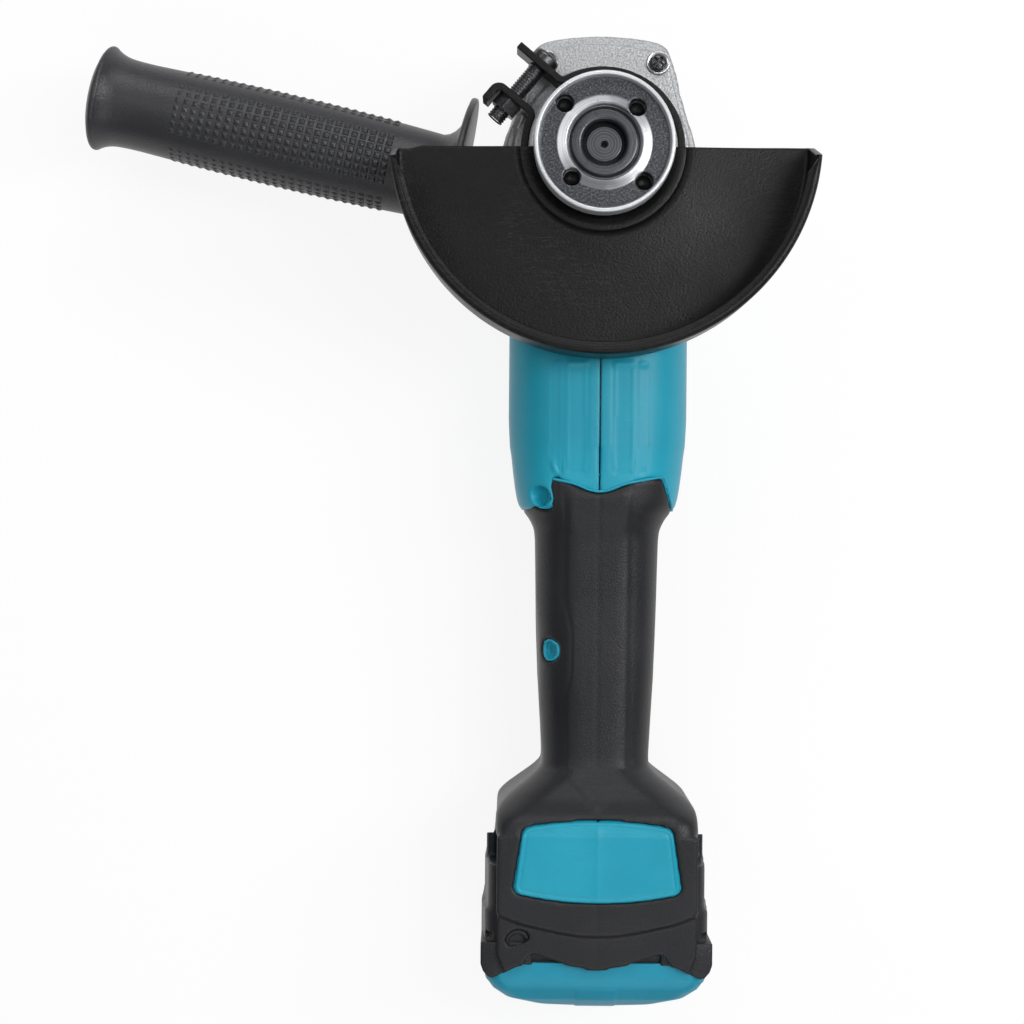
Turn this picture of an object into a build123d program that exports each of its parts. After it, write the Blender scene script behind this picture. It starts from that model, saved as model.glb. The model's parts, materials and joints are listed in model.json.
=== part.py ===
from build123d import *
from math import cos, degrees, radians, sin
import os

# Cordless angle grinder, as an assembly of separate pieces, in millimetres.
# The origin lies on the spindle axis in the plane of the gear case's flat back.
# +Z points to the disc side, +Y to the nose, the battery is at -Y and the side
# handle at -X. The tool lies on its back, as on a bench.

os.makedirs("parts", exist_ok=True)

# ---- Driving dimensions -------------------------------------------------------

# Clearances
running_gap = 0.05
face_gap = 0.3

# Heights above the flat back
motor_axis_height = 30.0
case_depth = 46.0
cover_thickness = 4.0
collar_height = 13.0
guard_plate_height = 60.0

# Gear case
case_floor = 10.0
cavity_radius = 23.5
case_rear_y = -36.0
case_ring_length = 6.5
bearing_boss_radius = 10.0
bearing_boss_height = 6.0

# Spindle line
spindle_base = 4.0
journal_radius = 5.0
journal_top = 14.0
wheel_seat_radius = 6.0
spindle_shoulder = 48.0
bearing_bore = 15.0
bearing_outside = 35.0
bearing_width = 11.0
thread_radius = 7.0
spindle_end = 69.0
needle_outside = 14.0

# Bevel drive
gear_module = 1.0
wheel_teeth = 37
pinion_teeth = 11
face_share = 0.30
tooth_addendum = 0.95
tooth_dedendum = 1.2
wheel_rim_radius = 22.2
wheel_rim_base = 40.2
wheel_rim_top = 44.0
lock_notch_count = 12

# Inner flange and lock nut
disc_bore = 22.2
flange_radius = 21.0
flange_thickness = 3.5
flange_height = 63.5
nut_radius = 22.4
nut_rim_width = 1.5
nut_face_height = 72.2
nut_rim_height = 74.5
nut_hub_height = 3.0
pin_hole_radius = 2.8
pin_circle_wide = 35.0
pin_circle_narrow = 30.0
pin_angle_wide = 136.0
pin_angle_narrow = 47.0

# Guard
guard_radius = 67.5
guard_sheet = 1.6
guard_depth = 22.0
guard_lip = 4.0
guard_fold = 3.0
collar_radius = 24.0
band_thickness = 2.4
band_base = 51.6
clamp_screw_radius = 2.5
ear_angle = 140.0
ear_bend = 2.2
ear_gap = 13.8

# Motor
motor_half_width = 29.6
motor_half_height = 27.5
housing_wall = 2.6
motor_shaft_radius = 4.0
motor_bearing_radius = 11.0
motor_bearing_width = 7.0
magnet_radius = 12.0
magnet_front_y = -52.0
magnet_length = 38.0
air_gap = 0.6
stator_radius = 24.4
stator_slots = 6
fan_radius = 22.5
fan_length = 9.0
fan_front_y = -38.0
fan_blades = 15

# Grip and foot
grip_half_width = 20.0
grip_base = 8.0
grip_top = 52.0
overmould = 2.0
foot_half_width = 32.6
foot_base = 4.0
foot_underside_y = -221.0
apron_end_y = -264.2
apron_thickness = 2.6
apron_gap = 0.4
band_step = 1.2
band_side_y = -244.8
band_middle_y = -252.1

# Battery
battery_half_width = 37.2
battery_depth = 63.0
battery_wall = 1.6
battery_deck_y = -230.0
battery_split_y = -264.0
battery_bottom_y = -278.0
rail_gap = 0.4
cell_radius = 9.15
cell_length = 65.0
cells_per_row = 3
cell_pitch = 18.5

# Side handle
handle_tilt = 12.87
boss_x = 35.2
boss_y = -8.6
boss_radius = 10.0
handle_thread_radius = 4.0
thread_depth = 10.0
handle_flange_at = 11.8
handle_flange_radius = 28.4
handle_flange_thickness = 2.6
grip_radius = 14.7
handle_rim_radius = 17.8
handle_length = 139.1

# Switch and buttons
switch_travel = 5.0
lock_pin_y = 21.0
lock_pin_radius = 2.3
lock_button_radius = 8.0


# ---- Helpers ------------------------------------------------------------------


def keep(piece, name):
    """Label a finished piece and write its STEP file."""
    piece.part.label = name
    export_step(piece.part, f"parts/{name}.step")


def heads_up(height):
    """The horizontal plane at a height above the flat back."""
    return Plane.XY.offset(height)


def across(y):
    """The plane square to the motor axis at a place along Y, facing the battery."""
    return Plane.XZ.offset(-y)


def along_handle(side, distance):
    """The plane square to a side handle's axis, a distance out of its boss face."""
    lean = radians(handle_tilt)
    out = Vector(side * cos(lean), sin(lean), 0)
    face = Vector(side * boss_x, boss_y, motor_axis_height)
    return Plane(origin=face + out * distance, x_dir=(0, 0, 1), z_dir=out)


# ---- Gear case ----------------------------------------------------------------

cover_face = case_depth + cover_thickness
case_ring_front = case_rear_y + case_ring_length


def case_outline(nose, corner_half, corner_y, side_half, rear_y, corner_round):
    """An arched nose, raked flanks and a square rear, rounded at the shoulders."""
    with BuildSketch() as outline:
        with BuildLine():
            ThreePointArc((corner_half, corner_y), (0, nose), (-corner_half, corner_y))
            Polyline(
                (-corner_half, corner_y),
                (-side_half, 4.0),
                (2.4 - side_half, rear_y),
                (side_half - 2.4, rear_y),
                (side_half, 4.0),
                (corner_half, corner_y),
            )
        make_face()
        shoulders = outline.vertices().group_by(Axis.Y)[-1]
        fillet(shoulders, corner_round)
    return outline.sketch


cover_screw_places = [(-18.2, 30.2), (18.2, 30.2), (-25.8, -17.5), (25.8, -17.5)]
cover_screw_radius = 1.5
cover_screw_head = 2.9
cover_screw_length = 12.0
motor_screw_places = [(-19.0, 21.0), (19.0, 21.0), (-19.0, -21.0), (19.0, -21.0)]
motor_screw_radius = 2.0
motor_screw_head = 3.6
motor_screw_length = 18.0
case_floor_hole = needle_outside / 2
boss_top = case_floor + bearing_boss_height
lock_pocket_floor = 8.0

with BuildPart() as gear_case:
    with BuildSketch(heads_up(0)):
        add(case_outline(39.5, 20.5, 33.0, 28.5, case_ring_front, 7.0))
    with BuildSketch(heads_up(case_depth * 0.7)):
        add(case_outline(43.4, 24.2, 36.0, 32.9, case_ring_front, 8.0))
    with BuildSketch(heads_up(case_depth)):
        add(case_outline(41.4, 23.2, 34.6, 31.0, case_ring_front, 8.0))
    loft(ruled=True)
    with BuildSketch(across(case_rear_y)):
        with Locations((0, motor_axis_height)):
            RectangleRounded(2 * motor_half_width, 2 * motor_half_height, 21.0)
    extrude(amount=-case_ring_length)
    for side in (-1, 1):
        with BuildSketch(along_handle(side, 0)):
            Circle(boss_radius)
        extrude(amount=-boss_radius - 4)
    with BuildSketch(heads_up(boss_top)):
        Circle(cavity_radius)
    extrude(amount=case_depth - boss_top, mode=Mode.SUBTRACT)
    with BuildSketch(heads_up(case_floor)):
        Circle(cavity_radius)
        Circle(bearing_boss_radius, mode=Mode.SUBTRACT)
    extrude(amount=boss_top - case_floor, mode=Mode.SUBTRACT)
    with BuildSketch(heads_up(spindle_base - 1)):
        Circle(case_floor_hole)
    extrude(amount=case_depth, mode=Mode.SUBTRACT)
    with BuildSketch(across(case_rear_y)):
        with Locations((0, motor_axis_height)):
            Circle(motor_bearing_radius)
    extrude(amount=-motor_bearing_width - 1, mode=Mode.SUBTRACT)
    with BuildSketch(across(case_rear_y)):
        with Locations((0, motor_axis_height)):
            Circle(motor_bearing_radius - 2)
    extrude(amount=case_rear_y + 20, mode=Mode.SUBTRACT)
    for side in (-1, 1):
        with BuildSketch(along_handle(side, 0)):
            Circle(handle_thread_radius)
        extrude(amount=-thread_depth, mode=Mode.SUBTRACT)
    with BuildSketch(heads_up(0)):
        with Locations((0, lock_pin_y)):
            Circle(lock_button_radius + face_gap)
    extrude(amount=lock_pocket_floor, mode=Mode.SUBTRACT)
    with BuildSketch(heads_up(0)):
        with Locations((0, lock_pin_y)):
            Circle(lock_pin_radius + running_gap)
    extrude(amount=case_depth / 2, mode=Mode.SUBTRACT)
    with BuildSketch(heads_up(case_depth)):
        with Locations(*cover_screw_places):
            Circle(cover_screw_radius)
    extrude(amount=-cover_screw_length, mode=Mode.SUBTRACT)
    with BuildSketch(across(case_rear_y)):
        for x, z in motor_screw_places:
            with Locations((x, motor_axis_height + z)):
                Circle(motor_screw_radius)
    extrude(amount=-case_ring_length, mode=Mode.SUBTRACT)
    for x, z in motor_screw_places[2:]:
        with BuildSketch(across(case_ring_front)):
            with Locations((x, motor_axis_height + z)):
                Circle(motor_screw_head + 0.6)
            with Locations((x, 0)):
                Rectangle(2 * motor_screw_head + 1.2, 2 * (motor_axis_height + z))
        extrude(amount=-9.5, mode=Mode.SUBTRACT)
keep(gear_case, "gear_case")

with BuildPart() as gear_case_cover:
    with BuildSketch(heads_up(case_depth)):
        add(case_outline(37.4, 22.4, 31.6, 29.4, case_ring_front + 3, 7.0))
    extrude(amount=cover_thickness, taper=6)
    with BuildSketch(heads_up(cover_face)):
        Circle(collar_radius + 4.6)
    extrude(amount=0.8)
    with BuildSketch(heads_up(cover_face)):
        Circle(collar_radius)
    extrude(amount=collar_height)
    chamfer(gear_case_cover.faces().sort_by(Axis.Z)[-1].edges(), 0.8)
    with BuildSketch(heads_up(case_depth)):
        Circle(bearing_outside / 2 - 3)
    extrude(amount=collar_height + cover_thickness, mode=Mode.SUBTRACT)
    with BuildSketch(heads_up(spindle_shoulder)):
        Circle(bearing_outside / 2)
    extrude(amount=collar_height + cover_thickness, mode=Mode.SUBTRACT)
    with Locations(*[(x, y, cover_face) for x, y in cover_screw_places]):
        CounterBoreHole(cover_screw_radius, cover_screw_head + 0.4, 2.4)
keep(gear_case_cover, "gear_case_cover")


def cross_recess(plane, size, depth):
    """The cross-shaped driving recess of a screw head, as a cutting solid."""
    with BuildPart(plane, mode=Mode.PRIVATE) as recess:
        with BuildSketch():
            Rectangle(size, size * 0.24)
            Rectangle(size * 0.24, size)
        extrude(amount=-depth, taper=12)
    return recess.part


seated = (Align.CENTER, Align.CENTER, Align.MIN)


def pan_screw(plane, shank_radius, length, head_radius, head_height):
    """A pan-head screw whose head rests on the plane and whose shank goes behind it."""
    with BuildPart(plane, mode=Mode.PRIVATE) as screw:
        Cylinder(head_radius, head_height, align=seated)
        fillet(screw.faces().sort_by(Axis(plane.origin, plane.z_dir))[-1].edges(), head_height * 0.45)
        Cylinder(shank_radius, length, align=(Align.CENTER, Align.CENTER, Align.MAX))
    top = Plane(origin=plane.origin + plane.z_dir * head_height, x_dir=plane.x_dir, z_dir=plane.z_dir)
    return screw.part - cross_recess(top, head_radius * 1.2, head_height * 0.6)


with BuildPart() as cover_screws:
    for x, y in cover_screw_places:
        seat = Plane(origin=(x, y, cover_face - 2.4), x_dir=(1, 0.4, 0), z_dir=(0, 0, 1))
        add(pan_screw(seat, cover_screw_radius, cover_screw_length, cover_screw_head, 2.2))
keep(cover_screws, "cover_screws")

# ---- Spindle, its bearings and the bevel drive --------------------------------

bearing_top = spindle_shoulder + bearing_width
wheel_pitch_radius = wheel_teeth * gear_module / 2
pinion_pitch_radius = pinion_teeth * gear_module / 2
toe_scale = 1 - face_share
gear_apex = Vector(0, 0, motor_axis_height)
wheel_bore = wheel_seat_radius
hub_radius = bearing_bore / 2 + 2


def ball_bearing(plane, bore, outside, width, balls):
    """A deep-groove bearing: two grooved rings, caged balls and a shield on each side."""
    mean = (bore + outside) / 4
    ball = (outside - bore) * 0.15
    ring = (outside - bore) * 0.13
    with BuildPart(plane, mode=Mode.PRIVATE) as bearing:
        Cylinder(outside / 2, width, align=seated)
        Cylinder(outside / 2 - ring, width, align=seated, mode=Mode.SUBTRACT)
        Cylinder(bore / 2 + ring, width, align=seated)
        with Locations((0, 0, width * 0.2)):
            Cylinder(mean + ball, width * 0.6, align=seated)
        Cylinder(bore / 2, width, align=seated, mode=Mode.SUBTRACT)
        with PolarLocations(mean, balls):
            Cylinder(ball * 0.5, width * 0.3, align=seated)
    return bearing.part


def bevel_tooth(heel, inward, root_half, tip_half):
    """One straight bevel tooth, tapering to the apex, at a heel point of the pitch cone."""
    pitch_line = (heel - gear_apex).normalized()
    sideways = pitch_line.cross(inward).normalized()
    outward = sideways.cross(pitch_line).normalized()
    if outward.dot(inward) > 0:
        outward = outward * -1
    tooth_corners = [
        (-root_half, -tooth_dedendum - 0.25),
        (root_half, -tooth_dedendum - 0.25),
        (tip_half, tooth_addendum),
        (-tip_half, tooth_addendum),
    ]
    faces = []
    for scale in (1.0, toe_scale):
        centre = gear_apex + (heel - gear_apex) * scale
        points = [
            centre + (sideways * across_tooth + outward * rise) * scale
            for across_tooth, rise in tooth_corners
        ]
        faces.append(Face(Wire.make_polygon(points)))
    return Solid.make_loft([faces[0].outer_wire(), faces[1].outer_wire()], ruled=True)


with BuildPart() as spindle:
    with BuildSketch(Plane.XZ):
        with BuildLine():
            Polyline(
                (0, spindle_base),
                (journal_radius, spindle_base),
                (journal_radius, journal_top),
                (wheel_seat_radius, journal_top),
                (wheel_seat_radius, spindle_shoulder),
                (bearing_bore / 2, spindle_shoulder),
                (bearing_bore / 2, bearing_top),
                (thread_radius, bearing_top),
                (thread_radius, spindle_end - 1),
                (thread_radius - 1.6, spindle_end),
                (1.2, spindle_end),
                (0, spindle_end - 2.4),
                close=True,
            )
        make_face()
    revolve(axis=Axis.Z)
keep(spindle, "spindle")

with BuildPart() as spindle_bearing:
    add(ball_bearing(heads_up(spindle_shoulder), bearing_bore, bearing_outside, bearing_width, 9))
keep(spindle_bearing, "spindle_bearing")

with BuildPart() as needle_bearing:
    with BuildSketch(heads_up(spindle_base)):
        Circle(needle_outside / 2)
        Circle(journal_radius + running_gap, mode=Mode.SUBTRACT)
    extrude(amount=journal_top - spindle_base - 0.5)
keep(needle_bearing, "needle_bearing")

with BuildPart() as bearing_retainer:
    with BuildSketch(heads_up(bearing_top)):
        Circle(bearing_outside / 2)
        Circle(bearing_bore / 2 + 4.2, mode=Mode.SUBTRACT)
    extrude(amount=1.8)
keep(bearing_retainer, "bearing_retainer")

wheel_heel = gear_apex + Vector(0, -wheel_pitch_radius, pinion_pitch_radius)
pitch_direction = (wheel_heel - gear_apex).normalized()
root_drop = Vector(0, pitch_direction.Z, -pitch_direction.Y) * tooth_dedendum
heel_root = wheel_heel + root_drop
toe_root = gear_apex + (heel_root - gear_apex) * toe_scale

with BuildPart() as bevel_wheel:
    with BuildSketch(Plane.XZ):
        with BuildLine():
            Polyline(
                (wheel_bore, toe_root.Z),
                (-toe_root.Y, toe_root.Z),
                (-heel_root.Y, heel_root.Z),
                (-heel_root.Y + 0.5, wheel_rim_base - 1),
                (wheel_rim_radius, wheel_rim_base),
                (wheel_rim_radius, wheel_rim_top),
                (hub_radius, wheel_rim_top),
                (hub_radius, spindle_shoulder),
                (wheel_bore, spindle_shoulder),
                close=True,
            )
        make_face()
    revolve(axis=Axis.Z)
    first_tooth = bevel_tooth(wheel_heel, Vector(0, 0, 1), 0.98, 0.4)
    half_pitch = 180 / wheel_teeth
    with PolarLocations(0, wheel_teeth, start_angle=half_pitch):
        add(first_tooth)
    with BuildSketch(heads_up(wheel_rim_base - 1)):
        with PolarLocations(lock_pin_y, lock_notch_count, start_angle=90):
            Circle(lock_pin_radius + 0.4)
    extrude(amount=wheel_rim_top, mode=Mode.SUBTRACT)
keep(bevel_wheel, "bevel_wheel")

pinion_heel = wheel_heel
pinion_back_y = -wheel_pitch_radius - 4.5
pinion_bore_front_y = -wheel_pitch_radius + 3.0
pinion_root = Vector(0, -pitch_direction.Z, pitch_direction.Y) * tooth_dedendum
pinion_heel_root = pinion_heel + pinion_root
pinion_toe_root = gear_apex + (pinion_heel_root - gear_apex) * toe_scale

with BuildPart() as pinion:
    with BuildSketch(Plane.YZ):
        with BuildLine():
            Polyline(
                (pinion_toe_root.Y, motor_axis_height),
                (pinion_toe_root.Y, pinion_toe_root.Z),
                (pinion_heel_root.Y, pinion_heel_root.Z),
                (pinion_heel_root.Y - 0.6, motor_axis_height + pinion_pitch_radius - 1),
                (pinion_back_y, motor_axis_height + pinion_pitch_radius - 1),
                (pinion_back_y, motor_axis_height),
                close=True,
            )
        make_face()
    revolve(axis=Axis(origin=(0, 0, motor_axis_height), direction=(0, 1, 0)))
    one_tooth = bevel_tooth(pinion_heel, Vector(0, 0, -1), 0.98, 0.36)
    for turn in range(pinion_teeth):
        add(one_tooth.rotate(Axis((0, 0, motor_axis_height), (0, 1, 0)), turn * 360 / pinion_teeth))
    with BuildSketch(across(pinion_back_y)):
        with Locations((0, motor_axis_height)):
            Circle(motor_shaft_radius - 1)
    extrude(amount=pinion_back_y - pinion_bore_front_y, mode=Mode.SUBTRACT)
keep(pinion, "pinion")

with BuildPart() as inner_flange:
    with BuildSketch(Plane.XZ):
        with BuildLine():
            Polyline(
                (thread_radius, bearing_top),
                (hub_radius + 0.5, bearing_top),
                (hub_radius + 0.5, flange_height),
                (flange_radius, flange_height),
                (flange_radius, flange_height + flange_thickness),
                (disc_bore / 2 + face_gap, flange_height + flange_thickness),
                (disc_bore / 2 + face_gap, flange_height + 0.4),
                (thread_radius, flange_height + 0.4),
                close=True,
            )
        make_face()
    revolve(axis=Axis.Z)
keep(inner_flange, "inner_flange")

flange_top = flange_height + flange_thickness
nut_base = flange_top + 0.05

with BuildPart() as lock_nut:
    with BuildSketch(Plane.XZ):
        with BuildLine():
            Polyline(
                (thread_radius + running_gap, nut_base - nut_hub_height),
                (disc_bore / 2 - 0.1, nut_base - nut_hub_height),
                (disc_bore / 2 - 0.1, nut_base),
                (nut_radius, nut_base),
                (nut_radius, nut_rim_height - 0.5),
                (nut_radius - 0.5, nut_rim_height),
                (nut_radius - nut_rim_width + 0.2, nut_rim_height),
                (nut_radius - nut_rim_width - 0.2, nut_face_height),
                (14.8, nut_face_height),
                (12.2, nut_face_height + 0.9),
                (11.6, nut_face_height - 0.5),
                (10.6, nut_face_height - 0.5),
                (10.3, nut_face_height - 0.1),
                (thread_radius + 0.7, nut_face_height - 0.1),
                (thread_radius + running_gap, nut_face_height - 0.9),
                close=True,
            )
        make_face()
    revolve(axis=Axis.Z)
    with BuildSketch(heads_up(nut_base)):
        with PolarLocations(pin_circle_wide / 2, 2, start_angle=pin_angle_wide):
            Circle(pin_hole_radius)
        with PolarLocations(pin_circle_narrow / 2, 2, start_angle=pin_angle_narrow):
            Circle(pin_hole_radius)
    extrude(amount=nut_rim_height, mode=Mode.SUBTRACT)
keep(lock_nut, "lock_nut")

# ---- Guard --------------------------------------------------------------------

band_inner = collar_radius + running_gap
band_outer = band_inner + band_thickness
band_middle = band_inner + band_thickness / 2
guard_rim = guard_plate_height + guard_depth
band_top = guard_plate_height + guard_sheet

guard_turn = radians(0.6)
guard_across = Vector(cos(guard_turn), sin(guard_turn), 0)
guard_section = Plane(origin=(0, 0, 0), x_dir=guard_across, z_dir=guard_across.cross(Vector(0, 0, 1)))

with BuildPart() as guard_shell:
    with BuildSketch(guard_section):
        with BuildLine():
            Polyline(
                (band_outer, guard_plate_height),
                (guard_radius, guard_plate_height),
                (guard_radius, guard_rim),
                (guard_radius - guard_lip, guard_rim),
                (guard_radius - guard_lip, guard_rim - guard_sheet),
                (guard_radius - guard_sheet, guard_rim - guard_sheet),
                (guard_radius - guard_sheet, guard_plate_height + guard_sheet),
                (band_outer, guard_plate_height + guard_sheet),
                close=True,
            )
        face = make_face()
        outer_fold = face.vertices().sort_by(Axis.X)[-2:]
        fillet(outer_fold, guard_fold)
    revolve(axis=Axis.Z, revolution_arc=-181)
    for side in (-1, 1):
        cut_back = Plane(
            origin=(side * guard_radius, 0.6 * side, guard_plate_height + 2),
            x_dir=(1, 0, 0),
            z_dir=(0, 1, 0.3),
        )
        with BuildSketch(cut_back):
            Rectangle(2 * guard_fold + guard_lip * 2, 60)
        extrude(amount=8, mode=Mode.SUBTRACT)
keep(guard_shell, "guard_shell")

ear_out = Vector(cos(radians(ear_angle)), sin(radians(ear_angle)), 0)
clamp_pull = Vector(-ear_out.Y, ear_out.X, 0)
clamp_start = Vector(-20.4, 27.4, (band_base + band_top) / 2)
clamp_end = clamp_start + clamp_pull * ear_gap
upper_leave = radians(118)
lower_leave = radians(160)


def flat(point):
    """The X and Y of a vector."""
    return (point.X, point.Y)


def ear_corner(leave, ear_middle):
    """Where the tangent that leaves the ring at an angle meets an ear's middle line."""
    ring_out = Vector(cos(leave), sin(leave), 0)
    reach = (band_middle - ear_middle.dot(ring_out)) / ear_out.dot(ring_out)
    return ear_middle + ear_out * reach


upper_start = Vector(cos(upper_leave), sin(upper_leave), 0) * band_middle
lower_start = Vector(cos(lower_leave), sin(lower_leave), 0) * band_middle
upper_corner = ear_corner(upper_leave, clamp_start)
lower_corner = ear_corner(lower_leave, clamp_end)
upper_tip = clamp_start + ear_out * 9
lower_knee = clamp_end + ear_out * 6
hook_tip = lower_knee + clamp_pull * 6.6

with BuildPart() as guard_band:
    with BuildSketch(heads_up(band_base)):
        with BuildLine():
            FilletPolyline(
                flat(upper_tip),
                flat(upper_corner),
                flat(upper_start),
                radius=ear_bend,
            )
            CenterArc((0, 0), band_middle, degrees(upper_leave), degrees(lower_leave - upper_leave) - 360)
            FilletPolyline(
                flat(lower_start),
                flat(lower_corner),
                flat(lower_knee),
                flat(hook_tip),
                radius=ear_bend,
            )
        trace(line_width=band_thickness)
    extrude(amount=band_top - band_base)
    for ear_middle in (clamp_start, clamp_end):
        with BuildSketch(Plane(origin=ear_middle - clamp_pull * 4, x_dir=(0, 0, 1), z_dir=clamp_pull)):
            Circle(clamp_screw_radius + 0.3)
        extrude(amount=8, mode=Mode.SUBTRACT)
keep(guard_band, "guard_band")

ear_face = band_thickness / 2
with BuildPart() as guard_clamp_screw:
    head_seat = Plane(origin=clamp_start - clamp_pull * ear_face, x_dir=(0, 0, 1), z_dir=clamp_pull * -1)
    add(pan_screw(head_seat, clamp_screw_radius, ear_gap + 9.5, 4.6, 3.2))
keep(guard_clamp_screw, "guard_clamp_screw")

with BuildPart() as guard_clamp_nut:
    with BuildSketch(Plane(origin=clamp_end + clamp_pull * ear_face, x_dir=(0, 0, 1), z_dir=clamp_pull)):
        RegularPolygon(4.0, 6, major_radius=False)
        Circle(clamp_screw_radius + running_gap, mode=Mode.SUBTRACT)
    extrude(amount=4.0)
keep(guard_clamp_nut, "guard_clamp_nut")

# ---- Side handle --------------------------------------------------------------

handle_frame = along_handle(-1, 0)


with BuildPart() as handle_stud:
    with BuildSketch(along_handle(-1, 0.4 - thread_depth)):
        Circle(handle_thread_radius - running_gap)
    extrude(amount=thread_depth - 0.4 + handle_flange_at + 30)
    with BuildSketch(along_handle(-1, face_gap)):
        Circle(9.0)
    extrude(amount=handle_flange_at - face_gap - 0.2)
keep(handle_stud, "handle_stud")

handle_profile = Plane(
    origin=handle_frame.origin,
    x_dir=(0, 0, 1),
    z_dir=handle_frame.z_dir.cross(Vector(0, 0, 1)) * -1,
)
flange_back = handle_flange_at + handle_flange_thickness
grip_neck_at = flange_back + 6.0
grip_flare_at = handle_length - 20.0
grip_rim_at = handle_length - 4.4
stud_reach = 30.0

with BuildPart() as handle_grip:
    with BuildSketch(handle_profile):
        with BuildLine():
            Polyline(
                (grip_radius - 0.4, grip_neck_at),
                (grip_radius + 5.5, flange_back + 0.3),
                (handle_flange_radius, flange_back - 0.4),
                (handle_flange_radius, handle_flange_at),
                (0, handle_flange_at),
                (0, handle_length),
            )
            ThreePointArc(
                (0, handle_length),
                (handle_rim_radius * 0.55, handle_length - 0.9),
                (handle_rim_radius, grip_rim_at),
            )
            ThreePointArc(
                (handle_rim_radius, grip_rim_at),
                (grip_radius + 0.9, handle_length - 11.0),
                (grip_radius - 0.1, grip_flare_at),
            )
            ThreePointArc(
                (grip_radius - 0.1, grip_flare_at),
                (grip_radius + 0.7, (grip_neck_at + grip_flare_at) / 2),
                (grip_radius - 0.4, grip_neck_at),
            )
        profile = make_face()
        neck_end = handle_profile.from_local_coords((grip_radius + 5.5, flange_back + 0.3))
        neck_corner = profile.vertices().sort_by_distance(neck_end)[0]
        fillet(neck_corner, 5.0)
    revolve(axis=Axis(origin=handle_frame.origin, direction=handle_frame.z_dir))
    with BuildSketch(along_handle(-1, handle_flange_at)):
        Circle(handle_thread_radius)
    extrude(amount=stud_reach, mode=Mode.SUBTRACT)
keep(handle_grip, "handle_grip")

# ---- Motor --------------------------------------------------------------------


def motor_point(y):
    """A place on the motor axis."""
    return Vector(0, y, motor_axis_height)


def motor_plane(y):
    """The plane square to the motor axis with its origin on it, facing the battery."""
    return Plane(origin=motor_point(y), x_dir=(1, 0, 0), z_dir=(0, -1, 0))


front_bearing_y = case_rear_y + motor_bearing_width + 1
magnet_rear_y = magnet_front_y - magnet_length
rear_bearing_y = magnet_rear_y - 7.0
shaft_rear_y = rear_bearing_y - motor_bearing_width
shaft_front_y = pinion_bore_front_y - 0.2
shaft_step_y = pinion_back_y
stator_bore = magnet_radius + air_gap

with BuildPart() as rotor_shaft:
    with BuildSketch(motor_plane(shaft_front_y)):
        Circle(motor_shaft_radius - 1)
    extrude(amount=shaft_front_y - shaft_step_y)
    with BuildSketch(motor_plane(shaft_step_y)):
        Circle(motor_shaft_radius)
    extrude(amount=shaft_step_y - shaft_rear_y)
keep(rotor_shaft, "rotor_shaft")

with BuildPart() as magnet_rotor:
    with BuildSketch(motor_plane(magnet_front_y)):
        Circle(magnet_radius)
        Circle(motor_shaft_radius, mode=Mode.SUBTRACT)
    extrude(amount=magnet_length)
keep(magnet_rotor, "magnet_rotor")

with BuildPart() as cooling_fan:
    with BuildSketch(motor_plane(fan_front_y - fan_length + 2)):
        Circle(fan_radius)
        Circle(motor_shaft_radius, mode=Mode.SUBTRACT)
    extrude(amount=2)
    with BuildSketch(motor_plane(fan_front_y)):
        Circle(motor_shaft_radius + 3)
        Circle(motor_shaft_radius, mode=Mode.SUBTRACT)
    extrude(amount=fan_length)
    with BuildSketch(motor_plane(fan_front_y)):
        with PolarLocations((fan_radius + motor_shaft_radius + 4) / 2, fan_blades):
            Rectangle(fan_radius - motor_shaft_radius - 4, 1.2, rotation=28)
        Circle(fan_radius, mode=Mode.INTERSECT)
    extrude(amount=fan_length)
keep(cooling_fan, "cooling_fan")

motor_bearing_size = (2 * motor_shaft_radius, 2 * motor_bearing_radius, motor_bearing_width)

with BuildPart() as front_motor_bearing:
    add(ball_bearing(motor_plane(front_bearing_y), *motor_bearing_size, 7))
keep(front_motor_bearing, "front_motor_bearing")

with BuildPart() as rear_motor_bearing:
    add(ball_bearing(motor_plane(rear_bearing_y), *motor_bearing_size, 7))
keep(rear_motor_bearing, "rear_motor_bearing")

slot_inner = stator_bore + 2.2
slot_outer = stator_radius - 4.0
tooth_width = 6.0
slot_mouth = 2.4

with BuildPart() as stator_core:
    with BuildSketch(motor_plane(magnet_front_y)):
        Circle(stator_radius)
        with BuildSketch(mode=Mode.SUBTRACT):
            Circle(slot_outer)
            Circle(slot_inner, mode=Mode.SUBTRACT)
            with PolarLocations((slot_inner + slot_outer) / 2, stator_slots):
                Rectangle(slot_outer - slot_inner + 2, tooth_width, mode=Mode.SUBTRACT)
        with PolarLocations(slot_inner, stator_slots, start_angle=180 / stator_slots):
            Rectangle(6, slot_mouth, mode=Mode.SUBTRACT)
        Circle(stator_bore, mode=Mode.SUBTRACT)
    extrude(amount=magnet_length)
keep(stator_core, "stator_core")

winding_gap = 0.3
with BuildPart() as stator_windings:
    with BuildSketch(motor_plane(magnet_front_y + 4)):
        Circle(slot_outer - winding_gap)
        Circle(slot_inner + winding_gap, mode=Mode.SUBTRACT)
        with PolarLocations((slot_inner + slot_outer) / 2, stator_slots):
            Rectangle(slot_outer - slot_inner + 2, tooth_width + 2 * winding_gap, mode=Mode.SUBTRACT)
    extrude(amount=magnet_length + 8)
    for end_y in (magnet_front_y + 4, magnet_rear_y - winding_gap):
        with BuildSketch(motor_plane(end_y)):
            Circle(slot_outer - winding_gap)
            Circle(slot_inner + winding_gap, mode=Mode.SUBTRACT)
        extrude(amount=4 - winding_gap)
keep(stator_windings, "stator_windings")

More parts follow.
